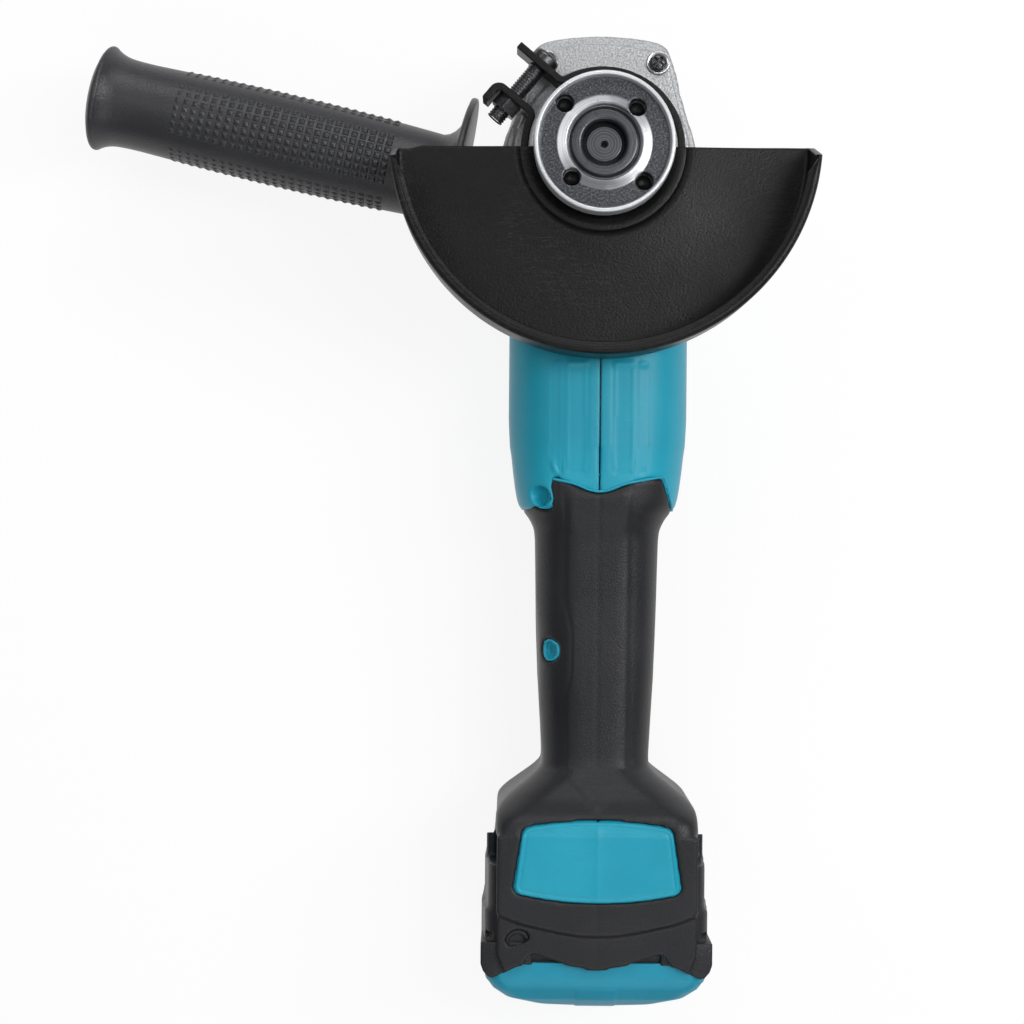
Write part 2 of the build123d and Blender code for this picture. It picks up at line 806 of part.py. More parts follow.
with BuildPart() as fan_baffle:
    with BuildSketch(motor_plane(case_rear_y - 0.1)):
        RectangleRounded(
            2 * (motor_half_width - housing_wall - 0.4),
            2 * (motor_half_height - housing_wall - 0.4),
            18.0,
        )
        Circle(motor_bearing_radius - 2, mode=Mode.SUBTRACT)
        with Locations(*motor_screw_places):
            Circle(motor_screw_radius + 0.3, mode=Mode.SUBTRACT)
    extrude(amount=1.4)
keep(fan_baffle, "fan_baffle")

with BuildPart() as rear_bearing_holder:
    with BuildSketch(motor_plane(rear_bearing_y)):
        RectangleRounded(
            2 * (motor_half_width - housing_wall - 1.4),
            2 * (motor_half_height - housing_wall - 0.7),
            17.0,
        )
        Circle(motor_bearing_radius, mode=Mode.SUBTRACT)
        with PolarLocations(16.5, 4, start_angle=45):
            Circle(3.2, mode=Mode.SUBTRACT)
    extrude(amount=3.0)
keep(rear_bearing_holder, "rear_bearing_holder")

with BuildPart() as motor_screws:
    for x, z in motor_screw_places:
        seat = Plane(origin=(x, case_ring_front, motor_axis_height + z), x_dir=(1, 0, 0.5), z_dir=(0, 1, 0))
        add(pan_screw(seat, motor_screw_radius, motor_screw_length, motor_screw_head, 2.2))
keep(motor_screws, "motor_screws")

# ---- Housing halves with their soft covering ----------------------------------

motor_base = motor_axis_height - motor_half_height
motor_crown = motor_axis_height + motor_half_height
grip_end_y = -197.0
foot_start_y = -216.0

foot_top = battery_depth + apron_gap + apron_thickness

# Key stations of the clamshell: place along Y, half width, underside, top, corner.
key_stations = [
    (case_rear_y, motor_half_width, motor_base, motor_crown, 21.0),
    (-86.0, motor_half_width, motor_base, motor_crown, 21.0),
    (-98.0, motor_half_width - 1.0, motor_base + 0.5, motor_crown - 0.2, 20.0),
    (-108.0, motor_half_width - 2.2, motor_base + 1.3, motor_crown - 0.8, 19.0),
    (-114.5, motor_half_width - 3.6, motor_base + 2.4, motor_crown - 1.6, 18.0),
    (-118.0, motor_half_width - 6.4, motor_base + 3.6, motor_crown - 2.6, 16.5),
    (-121.5, motor_half_width - 8.4, motor_base + 4.6, motor_crown - 3.6, 15.0),
    (-126.0, grip_half_width + 0.4, grip_base - 0.4, grip_top + 0.9, 14.4),
    (-145.0, grip_half_width, grip_base, grip_top, 14.0),
    (-172.0, grip_half_width - 0.9, grip_base, grip_top, 13.5),
    (grip_end_y, grip_half_width - 2.3, grip_base, grip_top + 0.3, 13.0),
    (-201.0, grip_half_width - 1.5, grip_base - 0.2, grip_top + 1.6, 13.0),
    (-204.5, grip_half_width + 2.4, grip_base - 1.2, grip_top + 4.0, 13.0),
    (-209.5, foot_half_width - 3.6, foot_base + 1.6, foot_top - 6.4, 12.0),
    (-213.0, foot_half_width - 0.6, foot_base + 0.4, foot_top - 3.0, 9.5),
    (foot_start_y, foot_half_width - 0.1, foot_base, foot_top - 0.8, 7.0),
    (foot_underside_y, foot_half_width, foot_base, foot_top, 5.5),
]


def halfway(before, start, end, after):
    """The value half way between two, on a smooth curve through four."""
    return (9 * (start + end) - before - after) / 16


housing_stations = key_stations[:2]
for place in range(2, len(key_stations)):
    around = key_stations[place - 2 : place + 2]
    if len(around) < 4:
        around.append(key_stations[place])
    housing_stations.append(tuple(halfway(*values) for values in zip(*around)))
    housing_stations.append(key_stations[place])


def housing_solid(inset):
    """The whole clamshell body, drawn in by a skin's thickness, without its ends moved."""
    with BuildPart() as body:
        for y, half_width, underside, top, corner in housing_stations:
            with BuildSketch(across(y)):
                with Locations((0, (underside + top) / 2)):
                    RectangleRounded(2 * (half_width - inset), top - underside - 2 * inset, corner - inset)
        loft(ruled=True)
    return body.part


housing_outer = housing_solid(0)
housing_core = housing_solid(overmould)
housing_cavity = housing_solid(overmould + housing_wall)
motor_cavity = housing_solid(housing_wall)
raised_skin = housing_solid(-0.6)
flute_floor = housing_solid(0.8)

cover_edge_y = -110.4
panel_top_half = 23.8
panel_bottom_half = 27.0
panel_top_y = -216.0
panel_bottom_y = -240.0
foot_floor_y = foot_underside_y + 4.0
apron_inner = battery_depth + apron_gap
apron_half = foot_half_width - 0.4
apron_skin = 0.7
far_below = -40.0
far_above = 140.0

with BuildPart() as covered_region:
    with BuildSketch(heads_up(far_below)):
        with BuildLine():
            Spline((-20.5, -105.7), (-8.0, -108.0), (0, cover_edge_y), (8.0, -108.0), (20.5, -105.7))
            Polyline(
                (20.5, -105.7),
                (24.5, -116.5),
                (60.0, -117.5),
                (60.0, -300.0),
                (-60.0, -300.0),
                (-60.0, -117.5),
                (-24.5, -116.5),
                (-20.5, -105.7),
            )
        make_face()
    extrude(amount=far_above - far_below)

panel_corners = (
    (panel_top_half, panel_top_y - 1.5),
    (-panel_top_half, panel_top_y - 1.5),
    (-panel_bottom_half, panel_bottom_y + 1.8),
    (panel_bottom_half, panel_bottom_y + 1.8),
)

with BuildPart() as panel_region:
    with BuildSketch(heads_up(foot_top - 40)):
        with BuildLine():
            ThreePointArc(panel_corners[0], (0, panel_top_y + 0.7), panel_corners[1])
            Line(panel_corners[1], panel_corners[2])
            ThreePointArc(panel_corners[2], (0, panel_bottom_y - 1.4), panel_corners[3])
            Line(panel_corners[3], panel_corners[0])
        window = make_face()
        fillet(window.vertices(), 2.6)
    extrude(amount=60)


def apron_solid(inner, outer):
    """The plate that closes the battery's near end, between two heights, with its two legs."""
    with BuildPart() as plate:
        with BuildSketch(heads_up(inner)):
            with BuildLine():
                half = apron_half
                Polyline(
                    (-half, foot_underside_y + 1.0),
                    (-half, apron_end_y + 5.0),
                    (-half + 2.2, apron_end_y - 2.0),
                    (-half + 8.5, apron_end_y - 2.0),
                    (-half + 11.6, apron_end_y + 2.0),
                    (0, apron_end_y),
                    (half - 11.6, apron_end_y + 2.0),
                    (half - 8.5, apron_end_y - 2.0),
                    (half - 2.2, apron_end_y - 2.0),
                    (half, apron_end_y + 5.0),
                    (half, foot_underside_y + 1.0),
                    close=True,
                )
            make_face()
        extrude(amount=outer - inner)
    return plate.part


flute_edges = [(4.0, 11.2), (12.1, 15.8)]
flute_start_y = -69.0
flute_end_y = -104.3

with BuildPart() as flute_region:
    with BuildSketch(heads_up(motor_axis_height)):
        for inner_edge, outer_edge in flute_edges:
            for side in (-1, 1):
                with Locations((side * (inner_edge + outer_edge) / 2, (flute_start_y + flute_end_y) / 2)):
                    RectangleRounded(outer_edge - inner_edge, flute_start_y - flute_end_y, 1.2)
    extrude(amount=60)

# Places of the cross screws that hold the halves: along Y and up Z.
housing_screw_places = [(-111.5, 46.8), (-162.0, 41.5), (-139.0, 14.2), (-190.0, 18.5)]
housing_boss_radius = 5.0
housing_screw_seat = -13.0
housing_screw_radius = 1.9
housing_screw_head = 3.3
housing_screw_length = 22.0
rib_places = [-148.0, -180.0]
rib_thickness = 1.6
rail_half = 28.0
rail_web = 2.6
rail_lip = 4.6
rail_depth = 8.5
rail_lip_depth = 3.0
latch_half = 7.0
latch_pocket = (9.0, 13.2)
terminal_half = 10.5
terminal_top = foot_top - 4.0
terminal_base = terminal_top - 15.0
switch_slot_half = 6.4
switch_slot_front_y = -107.0
knob_length = 19.0
switch_slot_rear_y = switch_slot_front_y - knob_length - switch_travel - 1.0
vent_slots = 5


with BuildPart() as screw_bosses:
    for y, z in housing_screw_places:
        with BuildSketch(Plane(origin=(-motor_half_width, y, z), x_dir=(0, 1, 0), z_dir=(1, 0, 0))):
            Circle(housing_boss_radius)
        extrude(amount=motor_half_width + 40)

with BuildPart() as screw_mouths:
    for y, z in housing_screw_places:
        with BuildSketch(Plane(origin=(-motor_half_width, y, z), x_dir=(0, 1, 0), z_dir=(1, 0, 0))):
            Circle(housing_boss_radius)
        extrude(amount=motor_half_width)

with BuildPart() as screw_bores:
    for y, z in housing_screw_places:
        with BuildSketch(Plane(origin=(housing_screw_seat, y, z), x_dir=(0, 1, 0), z_dir=(1, 0, 0))):
            Circle(housing_screw_radius)
        extrude(amount=housing_screw_length + 0.5)
        with BuildSketch(Plane(origin=(housing_screw_seat, y, z), x_dir=(0, 1, 0), z_dir=(-1, 0, 0))):
            Circle(housing_boss_radius - 1.2)
        extrude(amount=40)

with BuildPart() as inner_frame:
    for x, z in motor_screw_places:
        with BuildSketch(across(case_rear_y - 1.6)):
            with Locations((x, motor_axis_height + z)):
                Circle(motor_screw_radius + 1.7)
        extrude(amount=motor_screw_length - case_ring_length)
    for y in rib_places:
        with BuildSketch(across(y)):
            with Locations((0, (grip_base + grip_top) / 2)):
                Rectangle(2 * grip_half_width, grip_top - grip_base)
                Rectangle(14, 22, mode=Mode.SUBTRACT)
        extrude(amount=rib_thickness)

motor_cavity_end_y = -104.0

with BuildPart() as cavity:
    add(motor_cavity)
    with BuildSketch(across(case_rear_y)):
        Rectangle(400, 400)
    extrude(amount=case_rear_y - motor_cavity_end_y, mode=Mode.INTERSECT)

with BuildPart() as grip_cavity:
    add(housing_cavity)
    with BuildSketch(across(motor_cavity_end_y)):
        Rectangle(400, 400)
    extrude(amount=motor_cavity_end_y - foot_floor_y, mode=Mode.INTERSECT)

with BuildPart() as openings:
    with BuildSketch(heads_up(far_below)):
        with Locations((0, (switch_slot_front_y + switch_slot_rear_y) / 2)):
            Rectangle(2 * switch_slot_half, switch_slot_front_y - switch_slot_rear_y)
    extrude(amount=grip_base + overmould + housing_wall + 1 - far_below)
    with BuildSketch(heads_up(terminal_base)):
        with Locations((0, foot_underside_y - 3.2)):
            Rectangle(2 * terminal_half + 0.6, 12.6)
    extrude(amount=apron_inner - terminal_base)
    with BuildSketch(heads_up(latch_pocket[0])):
        with Locations((0, foot_underside_y)):
            Rectangle(2 * latch_half + 0.8, 5.0)
    extrude(amount=latch_pocket[1] - latch_pocket[0])
    for slot in range(vent_slots):
        for side in (-1, 1):
            with BuildSketch(heads_up(far_below)):
                with Locations((side * 11.0, -86.0 - 3.6 * slot)):
                    SlotOverall(13.0, 1.8)
            extrude(amount=motor_base + housing_wall + 3 - far_below)
    for x, z in motor_screw_places:
        with BuildSketch(across(case_rear_y)):
            with Locations((x, motor_axis_height + z)):
                Circle(motor_screw_radius)
        extrude(amount=motor_screw_length - case_ring_length + 0.4)

with BuildPart() as rails:
    for side in (-1, 1):
        with BuildSketch(heads_up(foot_base + 2)):
            with BuildLine():
                Polyline(
                    (side * rail_half, foot_underside_y),
                    (side * (rail_half + rail_web), foot_underside_y),
                    (side * (rail_half + rail_web), foot_underside_y - rail_depth),
                    (side * (rail_half - rail_lip), foot_underside_y - rail_depth),
                    (side * (rail_half - rail_lip), foot_underside_y - rail_depth + rail_lip_depth),
                    (side * rail_half, foot_underside_y - rail_depth + rail_lip_depth),
                    close=True,
                )
            make_face()
        extrude(amount=apron_inner - foot_base - 2)

with BuildPart() as housing_body:
    add(housing_core)
    add(housing_outer - covered_region.part)
    add(housing_outer & panel_region.part)
    add(housing_outer & screw_mouths.part)
    add(apron_solid(apron_inner, apron_inner + apron_skin))
    add(apron_solid(apron_inner, foot_top) & panel_region.part)
    add(cavity.part, mode=Mode.SUBTRACT)
    add(grip_cavity.part, mode=Mode.SUBTRACT)
    add((screw_bosses.part + inner_frame.part) & housing_core)
    add(rails.part)
    add((housing_outer - flute_floor) & flute_region.part, mode=Mode.SUBTRACT)
    add(screw_bores.part, mode=Mode.SUBTRACT)
    add(openings.part, mode=Mode.SUBTRACT)

strap_hole = (-25.4, -254.4)
facet_half = 9.8
facet_end_y = -212.0

with BuildPart() as facet_region:
    with BuildSketch(heads_up(motor_axis_height)):
        with BuildLine():
            Polyline(
                (-facet_half, cover_edge_y),
                (-facet_half, facet_end_y + 10),
                (0, facet_end_y),
                (facet_half, facet_end_y + 10),
                (facet_half, cover_edge_y),
                close=True,
            )
        make_face()
    extrude(amount=foot_top)

with BuildPart() as covering:
    add((housing_outer - housing_core) & covered_region.part)
    add((raised_skin - housing_outer) & covered_region.part & facet_region.part)
    add(apron_solid(apron_inner + apron_skin, foot_top))
    with BuildSketch(heads_up(foot_top - band_step)):
        with BuildLine():
            ThreePointArc((apron_half, band_side_y), (0, band_middle_y), (-apron_half, band_side_y))
            Polyline(
                (-apron_half, band_side_y),
                (-apron_half - 4, band_side_y),
                (-apron_half - 4, apron_end_y - 4),
                (apron_half + 4, apron_end_y - 4),
                (apron_half + 4, band_side_y),
                (apron_half, band_side_y),
            )
        make_face()
    extrude(amount=apron_thickness, mode=Mode.SUBTRACT)
    with BuildSketch(heads_up(foot_top)):
        with Locations(strap_hole):
            Circle(3.2)
    extrude(amount=-apron_thickness - 1, mode=Mode.SUBTRACT)
    add(apron_solid(apron_inner, apron_inner + apron_skin), mode=Mode.SUBTRACT)
    add(panel_region.part, mode=Mode.SUBTRACT)
    add(screw_mouths.part, mode=Mode.SUBTRACT)
    add(openings.part, mode=Mode.SUBTRACT)

with BuildPart() as left_housing:
    add(housing_body.part)
    split(bisect_by=Plane.YZ, keep=Keep.BOTTOM)
keep(left_housing, "left_housing")

with BuildPart() as right_housing:
    add(housing_body.part)
    split(bisect_by=Plane.YZ, keep=Keep.TOP)
keep(right_housing, "right_housing")

with BuildPart() as left_grip_cover:
    add(covering.part)
    split(bisect_by=Plane.YZ, keep=Keep.BOTTOM)
keep(left_grip_cover, "left_grip_cover")

with BuildPart() as right_grip_cover:
    add(covering.part)
    split(bisect_by=Plane.YZ, keep=Keep.TOP)
keep(right_grip_cover, "right_grip_cover")

with BuildPart() as housing_screws:
    for y, z in housing_screw_places:
        seat = Plane(origin=(housing_screw_seat, y, z), x_dir=(0, 1, 1), z_dir=(-1, 0, 0))
        add(pan_screw(seat, housing_screw_radius, housing_screw_length, housing_screw_head, 2.2))
keep(housing_screws, "housing_screws")

# ---- Switch, electronics and terminals ----------------------------------------

knob_rear_y = switch_slot_rear_y + 0.5
knob_front_y = knob_rear_y + knob_length
knob_face = 2.4
knob_flange_base = grip_base + overmould + housing_wall + 0.6
link_base = 21.0
link_height = 3.0
link_end_y = rib_places[0] - rib_thickness - 0.3

with BuildPart() as switch_knob:
    with BuildSketch(Plane.YZ.offset(-switch_slot_half + 0.4)):
        with BuildLine():
            Polyline(
                (knob_rear_y, knob_flange_base),
                (knob_rear_y, knob_face + 4.4),
                (knob_rear_y + 3.0, knob_face + 3.0),
                (knob_front_y - 3.0, knob_face),
                (knob_front_y, knob_face + 1.4),
                (knob_front_y, knob_flange_base),
                close=True,
            )
        make_face()
    extrude(amount=2 * switch_slot_half - 0.8)
    with BuildSketch(heads_up(knob_flange_base)):
        with Locations((0, (knob_rear_y + knob_front_y) / 2)):
            Rectangle(18.0, knob_length - 1)
    extrude(amount=1.6)
    for groove in range(5):
        with Locations((0, knob_rear_y + 5.0 + 2.3 * groove, knob_face + 2.4 - 0.34 * groove)):
            Box(2 * switch_slot_half - 2.4, 1.0, 1.6, mode=Mode.SUBTRACT)
keep(switch_knob, "switch_knob")

with BuildPart() as switch_link:
    with BuildSketch(Plane.YZ.offset(-2.5)):
        with BuildLine():
            Polyline(
                (knob_rear_y + 6.0, knob_flange_base + 1.6),
                (knob_rear_y + 12.0, knob_flange_base + 1.6),
                (knob_rear_y + 12.0, link_base + link_height),
                (link_end_y, link_base + link_height),
                (link_end_y, link_base),
                (knob_rear_y + 6.0, link_base),
                close=True,
            )
        make_face()
    extrude(amount=5.0)
keep(switch_link, "switch_link")

switch_front_y = link_end_y - 0.4
with BuildPart() as switch_unit:
    with BuildSketch(across(switch_front_y)):
        with Locations((0, 25)):
            Rectangle(15.0, 17.0)
    extrude(amount=switch_front_y - rib_places[1] - 0.3)
    with BuildSketch(heads_up(33.5)):
        for y in (-158.0, -170.0):
            with Locations((-4, y), (4, y)):
                Rectangle(1.0, 4.0)
    extrude(amount=2.4)
keep(switch_unit, "switch_unit")

board_y = foot_floor_y + 0.3
with BuildPart() as control_board:
    with BuildSketch(across(board_y + 1.6)):
        with Locations((0, (foot_base + foot_top) / 2)):
            Rectangle(42.0, foot_top - foot_base - 18)
    extrude(amount=1.6)
    with BuildSketch(across(board_y + 6.0)):
        for x, z in ((-14, 26), (-5, 26), (5, 26), (14, 26)):
            with Locations((x, z)):
                Rectangle(6.6, 9.0)
    extrude(amount=4.4)
    with BuildSketch(across(board_y + 8.0)):
        with Locations((-9, 46), (9, 46)):
            Circle(5.0)
    extrude(amount=6.4)
keep(control_board, "control_board")

blade_gap = 18.0
blade_thickness = 0.8
blade_front = terminal_base - 17.0
blade_top_y = foot_underside_y - 1.6
blade_bottom_y = foot_underside_y - 7.0

blade_middle_y = (blade_top_y + blade_bottom_y) / 2

with BuildPart() as terminal_blades:
    for side in (-1, 1):
        with Locations((side * blade_gap / 2, blade_middle_y, (blade_front + terminal_top - 3) / 2)):
            Box(blade_thickness, blade_top_y - blade_bottom_y, terminal_top - 3 - blade_front)
keep(terminal_blades, "terminal_blades")

with BuildPart() as terminal_block:
    with BuildSketch(heads_up(terminal_base + 0.3)):
        with Locations((0, foot_underside_y - 2.9)):
            Rectangle(2 * terminal_half, 11.4)
    extrude(amount=terminal_top - terminal_base - 0.3)
    add(terminal_blades.part, mode=Mode.SUBTRACT)
keep(terminal_block, "terminal_block")

# ---- Battery ------------------------------------------------------------------

head_half = rail_half - rail_gap
neck_half = rail_half - rail_lip - rail_gap
head_top_y = foot_underside_y - rail_gap
head_flange_y = foot_underside_y - rail_depth + rail_lip_depth + rail_gap
head_front = terminal_base - 2.0
head_rear = 16.0
cheek_inner = rail_half + rail_web + 0.8
cheek_half = battery_half_width - 1.0
cheek_base = 6.0
cheek_top = 46.0
cell_room = cell_length / 2 + 0.7
first_row = battery_deck_y - battery_wall - cell_radius - 0.3
cell_rows = [first_row, first_row - cell_pitch]
window_half = 10.6
window_top_y = -239.0
window_bottom_y = -255.0
latch_travel = 3.5
latch_plate_face = battery_wall + 0.6
battery_screw_radius = 0.9
battery_screw_head = 1.4
battery_screw_length = 7.0
battery_screw_seat = 2.0
screw_wall_x = (cell_room + battery_half_width) / 2
battery_screw_places = [
    (side * screw_wall_x, battery_depth * share) for side in (-1, 1) for share in (0.2, 0.68)
]

cell_middle = battery_depth / 2 + 0.4
cell_fit = cell_radius + 0.25


def battery_outline(half_width, drawn_in):
    """The battery's section across Y: widest at half depth, leaning in to both ends."""
    front = battery_depth - drawn_in
    waist = battery_depth * 0.62
    with BuildSketch() as outline:
        with BuildLine():
            Polyline(
                (half_width - 1.0, drawn_in),
                (half_width, waist),
                (half_width - 1.6, front),
                (1.6 - half_width, front),
                (-half_width, waist),
                (1.0 - half_width, drawn_in),
                close=True,
            )
        make_face()
        ends = outline.vertices().group_by(Axis.Y)
        fillet(ends[0], 5.0)
        fillet(outline.vertices().group_by(Axis.Y)[-1], 6.0)
    return outline.sketch


with BuildPart() as cell_space:
    with BuildSketch(Plane.YZ.offset(-cell_room)):
        with Locations(((cell_rows[0] + cell_rows[1]) / 2, cell_middle)):
            RectangleRounded(
                cell_rows[0] - cell_rows[1] + 2 * cell_fit,
                (cells_per_row - 1) * cell_pitch + 2 * cell_fit,
                cell_fit - 0.1,
            )
    extrude(amount=2 * cell_room)

with BuildPart() as battery_upper_case:
    with BuildSketch(across(battery_deck_y)):
        add(battery_outline(cheek_half, 0))
    extrude(amount=battery_deck_y - battery_split_y)
    with BuildSketch(across(band_side_y)):
        add(battery_outline(battery_half_width, 0))
    extrude(amount=band_side_y - battery_split_y)
    for side in (-1, 1):
        with BuildSketch(across(foot_underside_y - face_gap)):
            with Locations((side * (cheek_inner + cheek_half - 0.6) / 2, (cheek_base + cheek_top) / 2)):
                RectangleRounded(cheek_half - 0.6 - cheek_inner, cheek_top - cheek_base, 1.8)
        extrude(amount=foot_underside_y - face_gap - battery_deck_y + 0.5)
    with BuildSketch(heads_up(head_rear)):
        with BuildLine():
            Polyline(
                (-neck_half, battery_deck_y),
                (-neck_half, head_flange_y),
                (-head_half, head_flange_y),
                (-head_half, head_top_y),
                (head_half, head_top_y),
                (head_half, head_flange_y),
                (neck_half, head_flange_y),
                (neck_half, battery_deck_y),
                close=True,
            )
        make_face()
    extrude(amount=head_front - head_rear)
    add(cell_space.part, mode=Mode.SUBTRACT)
    with BuildSketch(heads_up(blade_front - 2)):
        for side in (-1, 1):
            with Locations((side * blade_gap / 2, (head_top_y + blade_bottom_y - 0.6) / 2)):
                Rectangle(3.2, head_top_y - blade_bottom_y + 1.6)
    extrude(amount=40, mode=Mode.SUBTRACT)
    with BuildSketch(heads_up(-1)):
        with Locations((0, (window_top_y + window_bottom_y) / 2)):
            RectangleRounded(2 * window_half, window_top_y - window_bottom_y, 2.0)
    extrude(amount=6, mode=Mode.SUBTRACT)
    with BuildSketch(heads_up(latch_plate_face - 0.3)):
        with Locations((0, (battery_deck_y - battery_wall + window_bottom_y) / 2)):
            Rectangle(2 * latch_half + 0.8, battery_deck_y - battery_wall - window_bottom_y)
    extrude(amount=2.4, mode=Mode.SUBTRACT)
    with BuildSketch(across(battery_deck_y + 1)):
        with Locations((0, latch_plate_face + 0.9)):
            Rectangle(2 * latch_half + 0.8, 3.0)
    extrude(amount=battery_wall + 2, mode=Mode.SUBTRACT)
    with BuildSketch(across(battery_split_y)):
        with Locations(*battery_screw_places):
            Circle(battery_screw_radius)
    extrude(amount=-battery_screw_length, mode=Mode.SUBTRACT)
keep(battery_upper_case, "battery_upper_case")

# Stations of the lower case: place along Y, half width, drawn in at each end.
lower_stations = [
    (battery_split_y, battery_half_width, 0.0),
    (battery_split_y - 3.2, battery_half_width - 0.5, 0.3),
    (battery_split_y - 6.5, battery_half_width - 2.6, 1.6),
    (battery_split_y - 9.8, battery_half_width - 6.8, 4.0),
    (battery_split_y - 12.4, battery_half_width - 15.0, 8.0),
    (battery_bottom_y, battery_half_width - 24.5, 13.0),
]

with BuildPart() as battery_lower_case:
    for y, half_width, drawn_in in lower_stations:
        with BuildSketch(across(y)):
            add(battery_outline(half_width, drawn_in))
    loft(ruled=True)
    add(cell_space.part, mode=Mode.SUBTRACT)
    with BuildSketch(across(battery_split_y)):
        with Locations(*battery_screw_places):
            Circle(battery_screw_radius)
    extrude(amount=battery_screw_seat, mode=Mode.SUBTRACT)
    with BuildSketch(across(battery_split_y - battery_screw_seat)):
        with Locations(*battery_screw_places):
            Circle(battery_screw_head + 0.1)
    extrude(amount=20, mode=Mode.SUBTRACT)
keep(battery_lower_case, "battery_lower_case")

cell_heights = [
    cell_middle + cell_pitch * (place - (cells_per_row - 1) / 2)
    for place in range(cells_per_row)
]

with BuildPart() as battery_cells:
    with BuildSketch(Plane.YZ.offset(-cell_length / 2)):
        for row_y in cell_rows:
            for height in cell_heights:
                with Locations((row_y, height)):
                    Circle(cell_radius)
    extrude(amount=cell_length)
keep(battery_cells, "battery_cells")

with BuildPart() as cell_straps:
    for side in (-1, 1):
        with BuildSketch(Plane.YZ.offset(side * (cell_length / 2 + 0.3) - 0.2)):
            for row_y in cell_rows:
                with Locations((row_y, cell_middle)):
                    Rectangle(8.0, cell_pitch * (cells_per_row - 1) + 8.0)
        extrude(amount=0.4)
keep(cell_straps, "cell_straps")

with BuildPart() as battery_contacts:
    for side in (-1, 1):
        for flank in (-1, 1):
            with Locations((side * blade_gap / 2 + flank * 1.0, blade_middle_y, blade_front + 6)):
                Box(0.6, 5.0, 12.0)
        with Locations((side * blade_gap / 2, blade_bottom_y - 0.5, blade_front + 6)):
            Box(2.6, 0.6, 12.0)
keep(battery_contacts, "battery_contacts")

with BuildPart() as battery_latch:
    with BuildSketch(Plane.YZ.offset(-latch_half)):
        with BuildLine():
            Polyline(
                (window_bottom_y + latch_travel + 0.4, 0.6),
                (window_top_y - 1.0, 0.6),
                (window_top_y - 1.0, latch_plate_face),
                (foot_underside_y - 4.4, latch_plate_face),
                (foot_underside_y - 4.4, latch_pocket[0] + 0.6),
                (foot_underside_y - face_gap, latch_pocket[0] + 0.6),
                (foot_underside_y - face_gap, latch_pocket[0] + 2.2),
                (foot_underside_y - 2.2, latch_pocket[1] - 0.4),
                (foot_underside_y - 5.4, latch_pocket[1] - 0.4),
                (foot_underside_y - 5.4, latch_plate_face + 1.6),
                (window_bottom_y + latch_travel + 0.4, latch_plate_face + 1.6),
                close=True,
            )
        make_face()
    extrude(amount=2 * latch_half)
keep(battery_latch, "battery_latch")

with BuildPart() as battery_screws:
    for x, height in battery_screw_places:
        seat_point = (x, battery_split_y - battery_screw_seat, height)
        seat = Plane(origin=seat_point, x_dir=(1, 0, 0), z_dir=(0, -1, 0))
        add(pan_screw(seat, battery_screw_radius, battery_screw_length, battery_screw_head, 1.0))
keep(battery_screws, "battery_screws")

# ---- Spindle lock -------------------------------------------------------------

button_face = 0.6
button_thickness = 2.2
lock_pin_top = wheel_rim_base - 1.6
spring_wire = 0.45
spring_turns = 3.5
spring_base = button_face + button_thickness + spring_wire
spring_top = lock_pocket_floor - spring_wire

with BuildPart() as lock_button:
    with BuildSketch(heads_up(button_face)):
        with Locations((0, lock_pin_y)):
            Circle(lock_button_radius)
    extrude(amount=button_thickness)
    fillet(lock_button.faces().sort_by(Axis.Z)[0].edges(), 1.0)
    with BuildSketch(heads_up(button_face)):
        with Locations((0, lock_pin_y)):
            Circle(lock_pin_radius)
    extrude(amount=lock_pin_top - button_face)
keep(lock_button, "lock_button")

with BuildPart() as lock_spring:
    with BuildLine(Plane(origin=(0, lock_pin_y, spring_base))) as coil:
        Helix((spring_top - spring_base) / spring_turns, spring_top - spring_base, lock_pin_radius + 1.8)
    with BuildSketch(Plane(origin=coil.line @ 0, z_dir=coil.line % 0)):
        Circle(spring_wire)
    sweep()
keep(lock_spring, "lock_spring")
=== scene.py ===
import json
import math
import bmesh
import bpy
import numpy as np
from mathutils import Matrix, Vector
from mathutils.bvhtree import BVHTree


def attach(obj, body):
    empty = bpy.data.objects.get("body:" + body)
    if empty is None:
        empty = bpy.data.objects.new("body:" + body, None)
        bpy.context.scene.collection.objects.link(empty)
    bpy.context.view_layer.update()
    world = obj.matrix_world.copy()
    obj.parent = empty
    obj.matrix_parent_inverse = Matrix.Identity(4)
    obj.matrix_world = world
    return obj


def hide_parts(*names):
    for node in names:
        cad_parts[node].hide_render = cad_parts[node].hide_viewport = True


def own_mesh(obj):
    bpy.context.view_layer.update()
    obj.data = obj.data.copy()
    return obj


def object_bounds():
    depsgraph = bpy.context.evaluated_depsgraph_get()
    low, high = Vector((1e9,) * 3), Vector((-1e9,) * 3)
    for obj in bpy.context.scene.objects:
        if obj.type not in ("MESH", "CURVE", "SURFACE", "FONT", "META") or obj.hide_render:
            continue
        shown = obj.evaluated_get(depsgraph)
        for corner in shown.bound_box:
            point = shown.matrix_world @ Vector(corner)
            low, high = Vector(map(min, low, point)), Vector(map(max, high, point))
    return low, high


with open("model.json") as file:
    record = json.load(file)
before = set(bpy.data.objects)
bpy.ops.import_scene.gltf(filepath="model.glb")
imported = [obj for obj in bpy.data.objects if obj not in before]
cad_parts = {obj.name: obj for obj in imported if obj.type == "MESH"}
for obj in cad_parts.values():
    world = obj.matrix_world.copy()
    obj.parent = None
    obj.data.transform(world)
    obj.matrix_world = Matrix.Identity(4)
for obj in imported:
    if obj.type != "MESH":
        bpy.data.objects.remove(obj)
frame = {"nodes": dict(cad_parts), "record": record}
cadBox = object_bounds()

print("frame loaded")
record = frame["record"]


# Node helpers: inputs are given by name or number, and a socket given as a value is linked.
def feed(tree, socket, value):
    if isinstance(value, bpy.types.NodeSocket):
        tree.links.new(value, socket)
    else:
        socket.default_value = value


